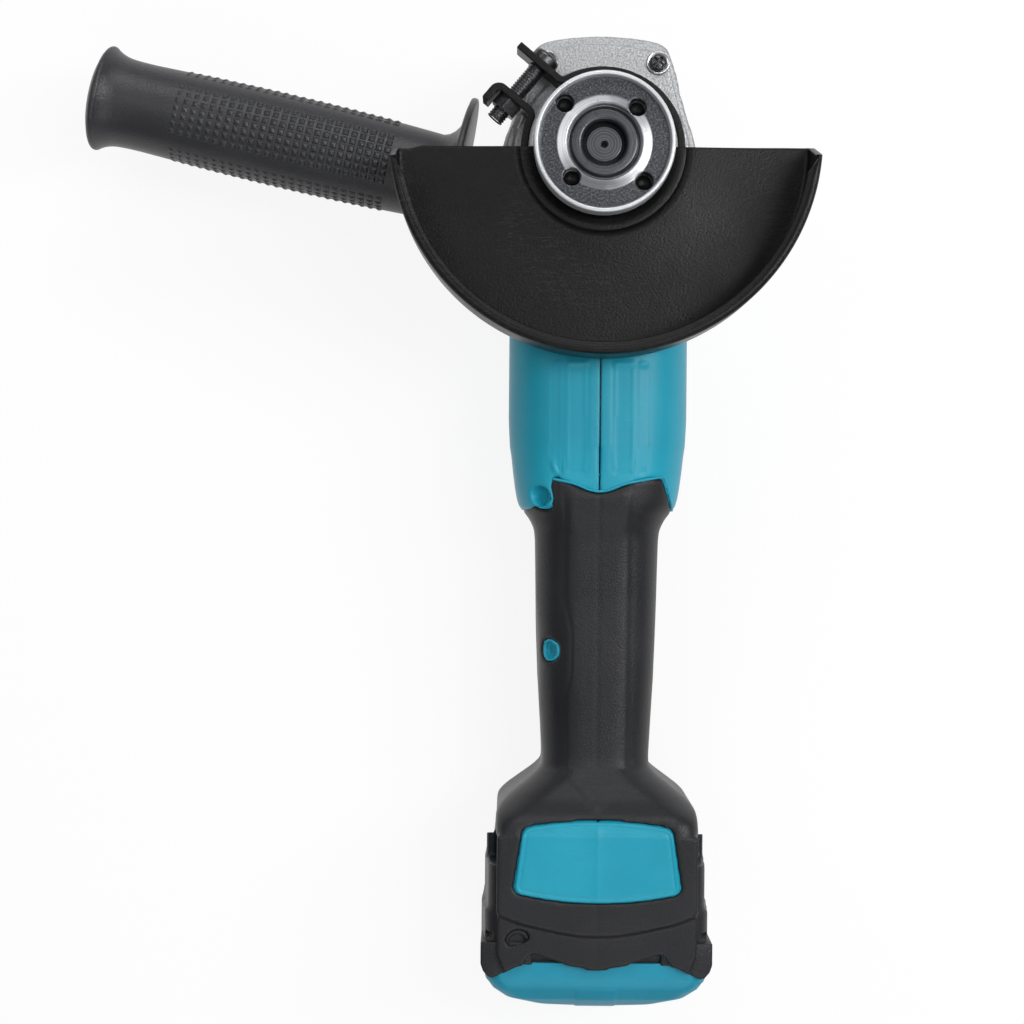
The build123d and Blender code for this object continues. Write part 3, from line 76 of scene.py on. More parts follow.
def addNode(tree, kind, inputs=None, **settings):
    made = tree.nodes.new(kind)
    for key, value in settings.items():
        setattr(made, key, value)
    for key, value in (inputs or {}).items():
        feed(tree, made.inputs[key], value)
    return made


def maths(tree, operation, first, second=0.0, third=0.0, clamp=False):
    given = {0: first, 1: second, 2: third}
    return addNode(tree, "ShaderNodeMath", given, operation=operation, use_clamp=clamp).outputs[0]


def ramp(tree, value, low, high, start=0.0, end=1.0):
    given = {"Value": value, "From Min": low, "From Max": high, "To Min": start, "To Max": end}
    return addNode(tree, "ShaderNodeMapRange", given).outputs["Result"]


def noise(tree, place, scale, **more):
    given = {"Vector": place, "Scale": scale}
    given.update({key.title(): value for key, value in more.items()})
    return addNode(tree, "ShaderNodeTexNoise", given).outputs[0]


def mixColour(tree, factor, first, second, blend="MIX"):
    made = addNode(tree, "ShaderNodeMix", data_type="RGBA", blend_type=blend)
    feed(tree, made.inputs[0], factor)
    for place, value in ((6, first), (7, second)):
        plain = not isinstance(value, bpy.types.NodeSocket)
        feed(tree, made.inputs[place], (*value, 1) if plain else value)
    return made.outputs[2]


def ownPlace(tree):
    return tree.nodes.new("ShaderNodeTexCoord").outputs["Object"]


def bumped(tree, height, normal, strength, distance):
    given = {"Height": height, "Normal": normal, "Strength": strength, "Distance": distance}
    return addNode(tree, "ShaderNodeBump", given).outputs[0]


def newGroup(name, inputs, outputs):
    group = bpy.data.node_groups.new(name, "ShaderNodeTree")
    for label, kind, value in inputs:
        socket = group.interface.new_socket(label, in_out="INPUT", socket_type=kind)
        if value is not None:
            socket.default_value = value
    for label, kind in outputs:
        group.interface.new_socket(label, in_out="OUTPUT", socket_type=kind)
    return group, group.nodes.new("NodeGroupInput").outputs, group.nodes.new("NodeGroupOutput").inputs


def useGroup(tree, group, inputs):
    made = tree.nodes.new("ShaderNodeGroup")
    made.node_tree = group
    for key, value in inputs.items():
        feed(tree, made.inputs[key], value)
    return made.outputs


def makeEdgeWear():
    # Where an outer edge is rubbed: 1 on the edge, broken up by noise, and the softened normal. On the
    # guard's black sheet this mask also lays painted highlight lines along the edges.
    group, given, out = newGroup(
        "edgeWear",
        [("Radius", "NodeSocketFloat", 0.0006), ("Amount", "NodeSocketFloat", 0.5),
            ("Scale", "NodeSocketFloat", 300.0)],
        [("Mask", "NodeSocketFloat"), ("Normal", "NodeSocketVector")],
    )
    softened = addNode(group, "ShaderNodeBevel", {"Radius": given["Radius"]}, samples=6).outputs[0]
    sharp = group.nodes.new("ShaderNodeNewGeometry").outputs["Normal"]
    dot = addNode(group, "ShaderNodeVectorMath", {0: softened, 1: sharp}, operation="DOT_PRODUCT")
    edge = ramp(group, dot.outputs["Value"], 0.97, 0.8)
    patches = noise(group, ownPlace(group), given["Scale"], detail=3.0)
    worn = maths(group, "MULTIPLY", edge, ramp(group, patches, 0.42, 0.62))
    group.links.new(maths(group, "MULTIPLY", worn, given["Amount"], clamp=True), out["Mask"])
    group.links.new(softened, out["Normal"])
    return group


def makeGrain():
    # Fine moulded or blasted surface: a height for bump, and a slow and a quick variation.
    group, given, out = newGroup(
        "grain",
        [("Scale", "NodeSocketFloat", 1500.0), ("Slow Scale", "NodeSocketFloat", 25.0)],
        [("Height", "NodeSocketFloat"), ("Fine", "NodeSocketFloat"), ("Slow", "NodeSocketFloat")],
    )
    place = ownPlace(group)
    fine = noise(group, place, given["Scale"], detail=2.0, roughness=0.6)
    slow = noise(group, place, given["Slow Scale"], detail=4.0, roughness=0.55)
    group.links.new(ramp(group, fine, 0.3, 0.7), out["Height"])
    group.links.new(ramp(group, fine, 0.35, 0.65), out["Fine"])
    group.links.new(ramp(group, slow, 0.3, 0.7), out["Slow"])
    return group


def makeScratches():
    # Thin rubbed lines in two directions, few and faint.
    group, given, out = newGroup(
        "scratches",
        [("Scale", "NodeSocketFloat", 60.0), ("Amount", "NodeSocketFloat", 0.5)],
        [("Mask", "NodeSocketFloat")],
    )
    place = ownPlace(group)
    lines = []
    for turn, stretch in ((0.5, 9.0), (1.9, 14.0)):
        turning = {"Vector": place, "Rotation": (0.3, turn, turn), "Scale": (1.0, stretch, 1.0)}
        placed = addNode(group, "ShaderNodeMapping", turning).outputs[0]
        cloud = noise(group, placed, given["Scale"], detail=2.0, distortion=0.4)
        away = maths(group, "ABSOLUTE", maths(group, "SUBTRACT", cloud, 0.5))
        lines.append(ramp(group, away, 0.012, 0.0))
    total = maths(group, "MAXIMUM", *lines)
    patches = noise(group, place, 30.0, detail=1.0)
    total = maths(group, "MULTIPLY", total, ramp(group, patches, 0.5, 0.65))
    group.links.new(maths(group, "MULTIPLY", total, given["Amount"], clamp=True), out["Mask"])
    return group


edgeWear = makeEdgeWear()
grain = makeGrain()
scratches = makeScratches()


def newMaterial(name):
    made = bpy.data.materials.new(name)
    made.use_nodes = True
    made.node_tree.nodes.clear()
    return made, made.node_tree


def shade(tree, links, **constants):
    # The surface shader: links feed its changing sockets, constants are set on its own sockets.
    shader = tree.nodes.new("ShaderNodeBsdfPrincipled")
    for key, value in constants.items():
        shader.inputs[key.replace("_", " ")].default_value = value
    for key, socket in links.items():
        tree.links.new(socket, shader.inputs[key])
    output = tree.nodes.new("ShaderNodeOutputMaterial")
    tree.links.new(shader.outputs[0], output.inputs[0])


def workedParts(tree, look, slow, wear, scratch):
    # What every finish has: grain, rubbed edges with a few scratches, and a bumped normal.
    rough = useGroup(tree, grain, {"Scale": look["grain"], "Slow Scale": slow})
    worn = useGroup(tree, edgeWear, {"Radius": look["edge"], "Amount": look["wear"], "Scale": wear})
    lines = useGroup(tree, scratches, {"Scale": scratch, "Amount": look["scratch"]})
    rubbed = maths(tree, "MAXIMUM", worn["Mask"], lines["Mask"])
    return rough, rubbed, bumped(tree, rough["Height"], worn["Normal"], look["bump"], look["depth"])


def mouldedMaterial(name, look):
    # Moulded plastic or rubber: fine grain, slow colour drift, rubbed edges and a few faint scratches.
    made, tree = newMaterial(name)
    rough, rubbed, normal = workedParts(tree, look, 30.0, 260.0, 50.0)
    colour = mixColour(tree, rough["Slow"], look["dark"], look["light"])
    colour = mixColour(tree, rubbed, colour, look["rubbed"])
    least, spread = look["roughness"] - look["spread"] / 2, look["spread"]
    roughness = maths(tree, "ADD", least, maths(tree, "MULTIPLY", rough["Slow"], spread))
    roughness = maths(tree, "ADD", roughness, maths(tree, "MULTIPLY", rough["Fine"], spread / 2))
    links = {"Base Color": colour, "Roughness": roughness, "Normal": normal}
    shade(tree, links, Specular_IOR_Level=look["specular"])
    return made


def metalMaterial(name, look):
    # Bare, plated, painted or cast metal: fine grain in its colour, rubbed edges.
    made, tree = newMaterial(name)
    rough, rubbed, normal = workedParts(tree, look, 60.0, 400.0, 90.0)
    colour = mixColour(tree, rough["Fine"], look["dark"], look["light"])
    colour = mixColour(tree, rubbed, colour, look["rubbed"])
    least, most = look["roughness"] - look["spread"], look["roughness"] + look["spread"]
    roughness = ramp(tree, rough["Slow"], 0.0, 1.0, least, most)
    links = {"Base Color": colour, "Roughness": roughness, "Normal": normal}
    shade(tree, links, Metallic=look["metallic"], Specular_IOR_Level=look["specular"])
    return made


# Colours are linear; grain is per metre, edge and depth are in metres. A look lists what differs
# from its base.
mouldedBase = dict(
    spread=0.08, grain=1600.0, bump=0.2, depth=0.0002, edge=0.0004, wear=0.3, scratch=0.12,
    specular=0.5,
)
metalBase = dict(
    spread=0.06, grain=1800.0, bump=0.2, depth=0.0002, edge=0.0003, wear=0.4, scratch=0.3,
    metallic=1.0, specular=0.5,
)
mouldedLooks = {
    "tealPlastic": dict(
        dark=(0.008, 0.26, 0.37), light=(0.012, 0.31, 0.43), rubbed=(0.12, 0.42, 0.5), roughness=0.38,
        grain=2200.0, bump=0.12, edge=0.0007, wear=0.25, specular=0.3,
    ),
    "blackOvermould": dict(
        dark=(0.0085, 0.009, 0.0105), light=(0.0125, 0.013, 0.0155), rubbed=(0.05, 0.05, 0.055),
        roughness=0.4, spread=0.1, grain=1800.0, depth=0.0003, edge=0.0008, scratch=0.15,
        specular=0.32,
    ),
    "batteryTeal": dict(
        dark=(0.006, 0.22, 0.33), light=(0.010, 0.26, 0.38), rubbed=(0.1, 0.4, 0.5), roughness=0.42,
        grain=2000.0, bump=0.15, edge=0.0007, wear=0.25, specular=0.3,
    ),
    "batteryBlack": dict(
        dark=(0.0085, 0.009, 0.0105), light=(0.0125, 0.013, 0.0155), rubbed=(0.05, 0.05, 0.055),
        roughness=0.42, spread=0.1, grain=1500.0, bump=0.25, depth=0.0003, edge=0.0007, scratch=0.15,
        specular=0.32,
    ),
    "handleRubber": dict(
        dark=(0.0145, 0.015, 0.0175), light=(0.0205, 0.021, 0.0245), rubbed=(0.06, 0.06, 0.065),
        roughness=0.38, bump=0.25, depth=0.0003, edge=0.0003, wear=0.25,
    ),
    "blackPlastic": dict(
        dark=(0.014, 0.014, 0.015), light=(0.02, 0.02, 0.0215), rubbed=(0.08, 0.08, 0.085),
        roughness=0.42, wear=0.35, scratch=0.2,
    ),
    "innerPlastic": dict(
        dark=(0.02, 0.02, 0.022), light=(0.03, 0.03, 0.032), rubbed=(0.08, 0.08, 0.085), roughness=0.5,
        scratch=0.1, specular=0.45,
    ),
    "circuitBoard": dict(
        dark=(0.012, 0.09, 0.04), light=(0.02, 0.14, 0.06), rubbed=(0.5, 0.42, 0.2), roughness=0.35,
        spread=0.1, grain=900.0, bump=0.3, edge=0.0003, scratch=0.1,
    ),
}
metalLooks = {
    "castCase": dict(
        dark=(0.27, 0.275, 0.28), light=(0.45, 0.455, 0.465), rubbed=(0.8, 0.81, 0.82), roughness=0.42,
        grain=1500.0, bump=0.35, depth=0.0003, edge=0.0009, wear=0.6, scratch=0.2, metallic=0.55,
    ),
    # The black sheet's rubbed colour, laid by the edge wear mask, is worn paint and also paints the highlight
    # lines along the guard's folded edges.
    "blackSheet": dict(
        dark=(0.0028, 0.0028, 0.0032), light=(0.0048, 0.0048, 0.0054), rubbed=(0.32, 0.32, 0.33),
        roughness=0.4, spread=0.07, grain=1300.0, bump=0.22, depth=0.0003, edge=0.0005, wear=0.55,
        scratch=0.06, metallic=0.0, specular=0.22,
    ),
    "darkScrews": dict(
        dark=(0.04, 0.04, 0.042), light=(0.10, 0.10, 0.105), rubbed=(0.5, 0.5, 0.52), roughness=0.3,
        spread=0.08, grain=2500.0, wear=0.7, metallic=0.9,
    ),
    "turnedSteel": dict(
        dark=(0.38, 0.38, 0.39), light=(0.52, 0.52, 0.53), rubbed=(0.75, 0.75, 0.76), roughness=0.25,
        spread=0.07, grain=2000.0, bump=0.12, wear=0.5,
    ),
    "bearingSteel": dict(
        dark=(0.5, 0.5, 0.51), light=(0.62, 0.62, 0.63), rubbed=(0.8, 0.8, 0.8), roughness=0.2,
        spread=0.05, grain=2500.0, bump=0.06, depth=0.0001,
    ),
    "gearSteel": dict(
        dark=(0.28, 0.28, 0.29), light=(0.42, 0.42, 0.43), rubbed=(0.7, 0.7, 0.71), roughness=0.3,
        grain=2200.0, bump=0.1, edge=0.0002, wear=0.6,
    ),
    "magnet": dict(
        dark=(0.15, 0.15, 0.16), light=(0.22, 0.22, 0.23), rubbed=(0.4, 0.4, 0.4), roughness=0.35,
        scratch=0.2, metallic=0.9,
    ),
    "lamination": dict(
        dark=(0.2, 0.2, 0.21), light=(0.3, 0.3, 0.31), rubbed=(0.5, 0.5, 0.5), roughness=0.4,
        bump=0.25, scratch=0.2, metallic=0.9,
    ),
    "copperWire": dict(
        dark=(0.42, 0.16, 0.06), light=(0.62, 0.27, 0.11), rubbed=(0.8, 0.4, 0.2), roughness=0.28,
        spread=0.08, grain=1500.0, bump=0.4, depth=0.0003, wear=0.3, scratch=0.2,
    ),
    "terminalBrass": dict(
        dark=(0.6, 0.45, 0.2), light=(0.75, 0.58, 0.3), rubbed=(0.9, 0.75, 0.45), roughness=0.25,
        grain=2000.0, bump=0.1, depth=0.0001, edge=0.0002, wear=0.5,
    ),
    "cellCan": dict(
        dark=(0.03, 0.2, 0.17), light=(0.05, 0.26, 0.22), rubbed=(0.2, 0.4, 0.36), roughness=0.3,
        grain=1200.0, bump=0.1, depth=0.0001, wear=0.2, scratch=0.2, metallic=0.0,
    ),
}
# Nut colours: bright is a painted highlight on the cone and the outer rim and also the colour of rubbed
# edges; annulus is the face painted dark for its dark reflection; groove is painted shade.
nutLook = dict(
    hub=(0.03, 0.033, 0.038), groove=(0.012, 0.0125, 0.014), annulus=(0.022, 0.024, 0.029),
    speck=(0.14, 0.148, 0.16), bright=(0.62, 0.635, 0.655), mid=(0.17, 0.176, 0.19),
    hubEdge=11.9, grooveInner=10.3, grooveOuter=11.3, faceInner=15.0, faceOuter=20.75, rim=20.6,
)


def ring(tree, radius, inner, outer, blur=0.25):
    # 1 between two radii, 0 elsewhere.
    rise = ramp(tree, radius, inner - blur, inner + blur)
    fall = ramp(tree, radius, outer - blur, outer + blur, 1.0, 0.0)
    return maths(tree, "MULTIPLY", rise, fall)


def paintedConeHighlight(tree, flat, patches):
    # Painted highlight: the cone's colour is lighter on two opposite sides, a little unevenly.
    parts = addNode(tree, "ShaderNodeSeparateXYZ", {0: flat}).outputs
    angle = maths(tree, "ARCTAN2", parts["Y"], parts["X"])
    turned = maths(tree, "SUBTRACT", maths(tree, "MULTIPLY", angle, 2.0), -0.5)
    uneven = ramp(tree, patches, 0.35, 0.65, -0.3, 0.3)
    return ramp(tree, maths(tree, "ADD", maths(tree, "COSINE", turned), uneven), -0.9, 0.5)


def nutMaterial(name, look):
    # Plated nut: turned rings with painted highlights, a face painted dark for the dark reflection it shows,
    # with specks, painted shade in the hub's groove and a grey turned hub.
    made, tree = newMaterial(name)
    flatten = {0: ownPlace(tree), 1: (1000, 1000, 0)}
    flat = addNode(tree, "ShaderNodeVectorMath", flatten, operation="MULTIPLY").outputs[0]
    radius = addNode(tree, "ShaderNodeVectorMath", {0: flat}, operation="LENGTH").outputs["Value"]
    rough = useGroup(tree, grain, {"Scale": 1100.0, "Slow Scale": 120.0})
    worn = useGroup(tree, edgeWear, {"Radius": 0.00035, "Amount": 0.8, "Scale": 500.0})
    specks = noise(tree, flat, 1.6, detail=4.0, roughness=0.65)
    outward = addNode(tree, "ShaderNodeCombineXYZ", {"X": radius}).outputs[0]
    rings = noise(tree, outward, 5.0, detail=3.0)
    # The forged face is painted dark for the dark reflection it shows, with lighter specks.
    speckled = mixColour(tree, ramp(tree, specks, 0.46, 0.72), look["annulus"], look["speck"])
    # Painted highlight on the cone, lighter on two opposite sides.
    coneHighlight = paintedConeHighlight(tree, flat, noise(tree, flat, 0.12, detail=1.0))
    cone = mixColour(tree, coneHighlight, look["mid"], look["bright"])
    hub = mixColour(tree, ramp(tree, rings, 0.4, 0.7), look["hub"], look["mid"])
    face = ring(tree, radius, look["faceInner"], look["faceOuter"])
    groove = ring(tree, radius, look["grooveInner"], look["grooveOuter"], 0.15)
    colour = mixColour(tree, face, cone, speckled)
    colour = mixColour(tree, ramp(tree, radius, look["hubEdge"], look["hubEdge"] - 0.4), colour, hub)
    # Painted shade: the hub's groove is coloured near black.
    colour = mixColour(tree, groove, colour, look["groove"])
    # Painted highlight: the outer rim takes the light colour.
    colour = mixColour(tree, ramp(tree, radius, look["rim"], look["rim"] + 0.4), colour, look["bright"])
    colour = mixColour(tree, worn["Mask"], colour, look["bright"])
    turned = ramp(tree, rings, 0.3, 0.7, 0.65, 1.35)
    lines = addNode(tree, "ShaderNodeCombineXYZ", {"X": turned, "Y": turned, "Z": turned}).outputs[0]
    colour = mixColour(tree, 1.0, colour, lines, "MULTIPLY")
    height = maths(tree, "ADD", specks, maths(tree, "MULTIPLY", rings, 0.5))
    # Outside the hub the nut is made mostly not metallic, so that its painted highlights and painted dark
    # face show as colour.
    shade(tree, {
        "Base Color": colour,
        "Metallic": ramp(tree, radius, 11.0, 12.5, 0.85, 0.35),
        "Roughness": ramp(tree, rough["Slow"], 0, 1, 0.25, 0.38),
        "Normal": bumped(tree, height, worn["Normal"], 0.25, 0.0002),
    })
    return made


materials = {name: mouldedMaterial(name, {**mouldedBase, **look}) for name, look in mouldedLooks.items()}
materials.update({name: metalMaterial(name, {**metalBase, **look}) for name, look in metalLooks.items()})
materials["platedNut"] = nutMaterial("platedNut", nutLook)
print("materials made")

slotMaterials = {
    "cast_case": "castCase", "dark_screws": "darkScrews", "bearing_steel": "bearingSteel",
    "turned_steel": "turnedSteel", "gear_steel": "gearSteel", "plated_nut": "platedNut",
    "black_sheet": "blackSheet", "handle_rubber": "handleRubber", "magnet": "magnet",
    "inner_plastic": "innerPlastic", "lamination": "lamination", "copper_wire": "copperWire",
    "teal_plastic": "tealPlastic", "black_overmould": "blackOvermould",
    "black_plastic": "blackPlastic", "board": "circuitBoard", "terminal_brass": "terminalBrass",
    "battery_black": "batteryBlack", "battery_teal": "batteryTeal", "cell_can": "cellCan",
}
for row in record["subparts"]:
    node = frame["nodes"][row["node"]]
    finish = "platedNut" if row["node"] == "spindle" else slotMaterials[row["material_slot"]]
    for place in node.material_slots:
        place.material = materials[finish]
print("finishes given to", len(record["subparts"]), "CAD pieces")

# Shapes: softened copies of the CAD pieces, lathed and swept pieces, and rows laid by Geometry Nodes
mm = 0.001
middleReach = 0.01 * mm
mergeReach = 0.001 * mm


def newPiece(name, mesh, materialName, body, stands=()):
    # A finished piece: its finish, the body it rides on and the CAD pieces it stands for.
    mesh.materials.clear()
    mesh.materials.append(materials[materialName])
    mesh.polygons.foreach_set("use_smooth", [True] * len(mesh.polygons))
    mesh.update()
    piece = bpy.data.objects.new(name, mesh)
    bpy.context.scene.collection.objects.link(piece)
    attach(piece, body)
    if stands:
        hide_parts(*stands)
    return piece


def meshFrom(name, points, faces):
    # A mesh from points in millimetres, with its normals made to face outward.
    mesh = bpy.data.meshes.new(name)
    mesh.from_pydata([Vector(point) * mm for point in points], [], faces)
    work = bmesh.new()
    work.from_mesh(mesh)
    bmesh.ops.recalc_face_normals(work, faces=work.faces)
    work.to_mesh(mesh)
    work.free()
    return mesh


def mergedCopy(nodes):
    # The CAD pieces' loose triangles, copied and merged; two halves are opened where they meet.
    work = bmesh.new()
    for node in nodes:
        work.from_mesh(frame["nodes"][node].data)
    if len(nodes) > 1:
        inside = [face for face in work.faces if all(abs(vertex.co.x) < middleReach for vertex in face.verts)]
        bmesh.ops.delete(work, geom=inside, context="FACES")
    bmesh.ops.remove_doubles(work, verts=work.verts, dist=mergeReach)
    mesh = bpy.data.meshes.new(nodes[0] + "Merged")
    work.to_mesh(mesh)
    work.free()
    return mesh


def baked(holder):
    # The holder's evaluated mesh as a new mesh; the holder and its modifiers go.
    shown = holder.evaluated_get(bpy.context.evaluated_depsgraph_get())
    mesh = bpy.data.meshes.new_from_object(shown)
    bpy.data.objects.remove(holder)
    return mesh


def softCopy(nodes, voxel, rounds):
    # An even, finely divided copy of CAD pieces with its edges rounded off.
    holder = bpy.data.objects.new(nodes[0] + "Holder", mergedCopy(nodes))
    bpy.context.scene.collection.objects.link(holder)
    even = holder.modifiers.new("even", "REMESH")
    even.mode = "VOXEL"
    even.voxel_size = voxel * mm
    ease = holder.modifiers.new("ease", "SMOOTH")
    ease.factor = 0.5
    ease.iterations = rounds
    return baked(holder)


def readPoints(mesh):
    points = np.empty(len(mesh.vertices) * 3)
    mesh.vertices.foreach_get("co", points)
    return points.reshape(-1, 3) / mm


def readNormals(mesh):
    normals = np.empty(len(mesh.vertices) * 3)
    mesh.vertices.foreach_get("normal", normals)
    return normals.reshape(-1, 3)


def writePoints(mesh, points):
    mesh.vertices.foreach_set("co", (points * mm).ravel())
    mesh.update()


def swept(name, path, radius, sides=10):
    # A round bar along an open path of points, in millimetres, with flat ends.
    points, faces = [], []
    last = len(path) - 1
    side = None
    for place, point in enumerate(path):
        along = (path[min(place + 1, last)] - path[max(place - 1, 0)]).normalized()
        side = along.orthogonal() if side is None else side - along * side.dot(along)
        side.normalize()
        other = along.cross(side)
        for step in range(sides):
            turn = 2 * math.pi * step / sides
            points.append(point + (side * math.cos(turn) + other * math.sin(turn)) * radius)
    for place in range(last):
        near, far = place * sides, (place + 1) * sides
        for step in range(sides):
            beside = (step + 1) % sides
            faces.append((near + step, near + beside, far + beside, far + step))
    faces.append(tuple(range(sides)))
    faces.append(tuple(last * sides + step for step in range(sides)))
    return meshFrom(name, points, faces)


def lathed(name, profile, segments, origin, axis):
    # A full turn of (along, radius) points about an axis; both ends of the profile lie on it.
    axis = Vector(axis).normalized()
    side = axis.orthogonal().normalized()
    other = axis.cross(side)
    origin = Vector(origin)
    points = [origin + axis * profile[0][0]]
    for along, radius in profile[1:-1]:
        for step in range(segments):
            turn = 2 * math.pi * step / segments
            points.append(origin + axis * along + (side * math.cos(turn) + other * math.sin(turn)) * radius)
    points.append(origin + axis * profile[-1][0])
    last = len(points) - 1
    rings = len(profile) - 2
    faces = []
    for step in range(segments):
        beside = (step + 1) % segments
        faces.append((0, 1 + beside, 1 + step))
        for level in range(rings - 1):
            near = 1 + level * segments
            far = near + segments
            faces.append((near + step, near + beside, far + beside, far + step))
        tail = 1 + (rings - 1) * segments
        faces.append((tail + step, tail + beside, last))
    return meshFrom(name, points, faces)


def eased(points, steps):
    # A smooth curve through points, closed off at both ends (Catmull-Rom).
    points = [Vector(point) for point in points]
    padded = [points[0] * 2 - points[1]] + points + [points[-1] * 2 - points[-2]]
    curve = []
    for place in range(len(points) - 1):
        a, b, c, d = padded[place:place + 4]
        for step in range(steps):
            t = step / steps
            square = (2 * a - 5 * b + 4 * c - d) * t * t
            cube = (3 * b - a - 3 * c + d) * t ** 3
            curve.append(0.5 * (2 * b + (c - a) * t + square + cube))
    return curve + [points[-1]]


def arc(centre, radius, start, end, steps):
    turns = [math.radians(start + (end - start) * step / steps) for step in range(steps + 1)]
    return [(centre[0] + radius * math.cos(turn), centre[1] + radius * math.sin(turn)) for turn in turns]


def surfaceTree(nodes):
    # One search tree over CAD pieces, to lay things on their surface.
    points, faces = [], []
    for node in nodes:
        mesh = frame["nodes"][node].data
        base = len(points)
        points += [vertex.co / mm for vertex in mesh.vertices]
        faces += [tuple(base + index for index in face.vertices) for face in mesh.polygons]
    return BVHTree.FromPolygons(points, faces)


def drop(tree, x, y):
    # Where a vertical line from above meets the surface, and the surface's normal there.
    point, normal, index, distance = tree.ray_cast(Vector((x, y, 120)), Vector((0, 0, -1)))
    return point, normal


def within(value, low, high):
    # 0 at low, 1 at high, straight between.
    return np.clip((value - low) / (high - low), 0, 1)


def smoothed(share):
    return share * share * (3 - 2 * share)


bodies = record["behaviour"]["bodies"]
bodyOf = {node: body for body, members in bodies.items() for node in members}

# Parting lines
seamLook = dict(reach=0.5, gap=0.24, top=20.0, faint=0.12, upper=-124.0, deeper=0.3, crease=0.7)


def cutSeam(points, normals):
    # The parting line between the halves stands open a little.
    near = (np.abs(points[:, 0]) < seamLook["reach"]) & (points[:, 2] > seamLook["top"])
    side = np.sign(points[:, 0].mean())
    points[near, 0] = side * np.maximum(np.abs(points[near, 0]), seamLook["gap"])


def creaseSeam(points, normals):
    # A faint line where the two covers meet, deeper near the teal body.
    near = within(np.abs(points[:, 0]), seamLook["crease"], 0) * (points[:, 2] > seamLook["top"])
    deep = np.where(points[:, 1] > seamLook["upper"], seamLook["deeper"], seamLook["faint"])
    points[:, 2] -= near * deep


# Battery: a middle strip on its end, slots and slanted tops on its cheeks, a teal half that reaches up
stripLook = dict(half=6.2, edge=0.5, endY=-268, sunk=0.25)
cheekLook = dict(
    slotX=34.2, slotY=-252.6, slotHalfX=1.3, slotHalfY=1.3, slopeX=0.4, slopeY=0.5, slotDepth=1.6,
    topFrom=33.0, topY=-222.4, topZ=45, lean=0.22,
)
tealLook = dict(fromY=-268.5, fullY=-265.0, fromZ=56, fullZ=60, rise=3.0)
deckLook = dict(fromY=-257, fullY=-259, fromZ=56, half=33, sunk=1.2)


def sinkSides(points, normals):
    # Both sides of the battery's end stand back a little from its middle strip.
    share = within(np.abs(points[:, 0]), stripLook["half"], stripLook["half"] + stripLook["edge"])
    share *= within(-normals[:, 1], 0.3, 0.6) * (points[:, 1] < stripLook["endY"])
    points -= normals * share[:, None] * stripLook["sunk"]


def shapeCheeks(points, normals):
    # A short slot in the front of each battery cheek, and cheek tops that lean back.
    look = cheekLook
    wide = np.abs(points[:, 0])
    awayX, awayY = np.abs(wide - look["slotX"]), np.abs(points[:, 1] - look["slotY"])
    across = within(awayX, look["slotHalfX"], look["slotHalfX"] - look["slopeX"])
    along = within(awayY, look["slotHalfY"], look["slotHalfY"] - look["slopeY"])
    points[:, 2] -= across * along * (normals[:, 2] > 0.2) * look["slotDepth"]
    limit = look["topY"] - (look["topZ"] - points[:, 2]) * look["lean"]
    points[:, 1] = np.where(wide > look["topFrom"], np.minimum(points[:, 1], limit), points[:, 1])


def raiseTeal(points, normals):
    # The battery's teal half reaches up under the apron.
    share = within(points[:, 1], tealLook["fromY"], tealLook["fullY"])
    points[:, 1] += tealLook["rise"] * share * within(points[:, 2], tealLook["fromZ"], tealLook["fullZ"])


def sinkDeck(points, normals):
    # The black half makes room for it there.
    inside = (points[:, 2] > deckLook["fromZ"]) & (np.abs(points[:, 0]) < deckLook["half"])
    points[:, 2] -= deckLook["sunk"] * within(points[:, 1], deckLook["fromY"], deckLook["fullY"]) * inside


# Foot: its lower edge, the teal body behind it and the strap hole
apronLook = dict(
    wide=(0, 4, 8, 12, 16, 19, 21, 23, 24.5, 26, 33.4, 40),
    edge=(-265.3, -265.15, -264.7, -263.9, -262.8, -262.15, -261.95, -261.9, -262.0, -262.5, -266.2, -266.4),
    straight=-266.1, fromY=-246, fullY=-263, fromZ=55,
    behindY=-242, behindHalf=30.0, behindZ=64.5, behindSunk=0.5,
)
strapHole = dict(middle=(-25.4, -254.4), radius=5.4, depth=4.5, fromZ=60, floorZ=62.0)


def shapeApron(points, normals):
    # The foot's lower edge bows down in the middle; its legs end in a slant.
    look = apronLook
    shift = np.interp(np.abs(points[:, 0]), look["wide"], look["edge"]) - look["straight"]
    share = within(points[:, 1], look["fromY"], look["fullY"]) * (points[:, 2] > look["fromZ"])
    points[:, 1] += shift * smoothed(share)


def drawInApron(points, normals):
    # The teal plate behind the black apron stays out of sight.
    look = apronLook
    low = (points[:, 1] < look["behindY"]) & (points[:, 2] > look["fromZ"])
    points[low, 0] = np.clip(points[low, 0], -look["behindHalf"], look["behindHalf"])
    points[low & (points[:, 2] > look["behindZ"]), 2] -= look["behindSunk"]


def pressHole(points, normals):
    # Behind the strap hole the teal body is a pit.
    x, y = strapHole["middle"]
    away = np.hypot(points[:, 0] - x, points[:, 1] - y)
    inside = (away < strapHole["radius"]) & (points[:, 2] > strapHole["fromZ"])
    points[inside, 2] -= strapHole["depth"]


# Flutes along the front: inner and outer edge of each, from the middle
fluteLook = dict(edges=((4.0, 11.2), (12.1, 15.8)), low=-104.2, high=-67.5, frontZ=50, rise=0.5, side=0.5)


def easeFlutes(points, normals):
    # The flutes are shallow, with soft sides.
    look = fluteLook
    wide = np.abs(points[:, 0])
    along = within(points[:, 1], look["low"], look["low"] + 1.2)
    along *= within(points[:, 1], look["high"], look["high"] - 1.0) * (points[:, 2] > look["frontZ"])
    for inner, outer in look["edges"]:
        across = within(wide, inner + 0.1, inner + 0.1 + look["side"])
        across *= within(wide, outer - 0.1, outer - 0.1 - look["side"])
        points[:, 2] += look["rise"] * across * along


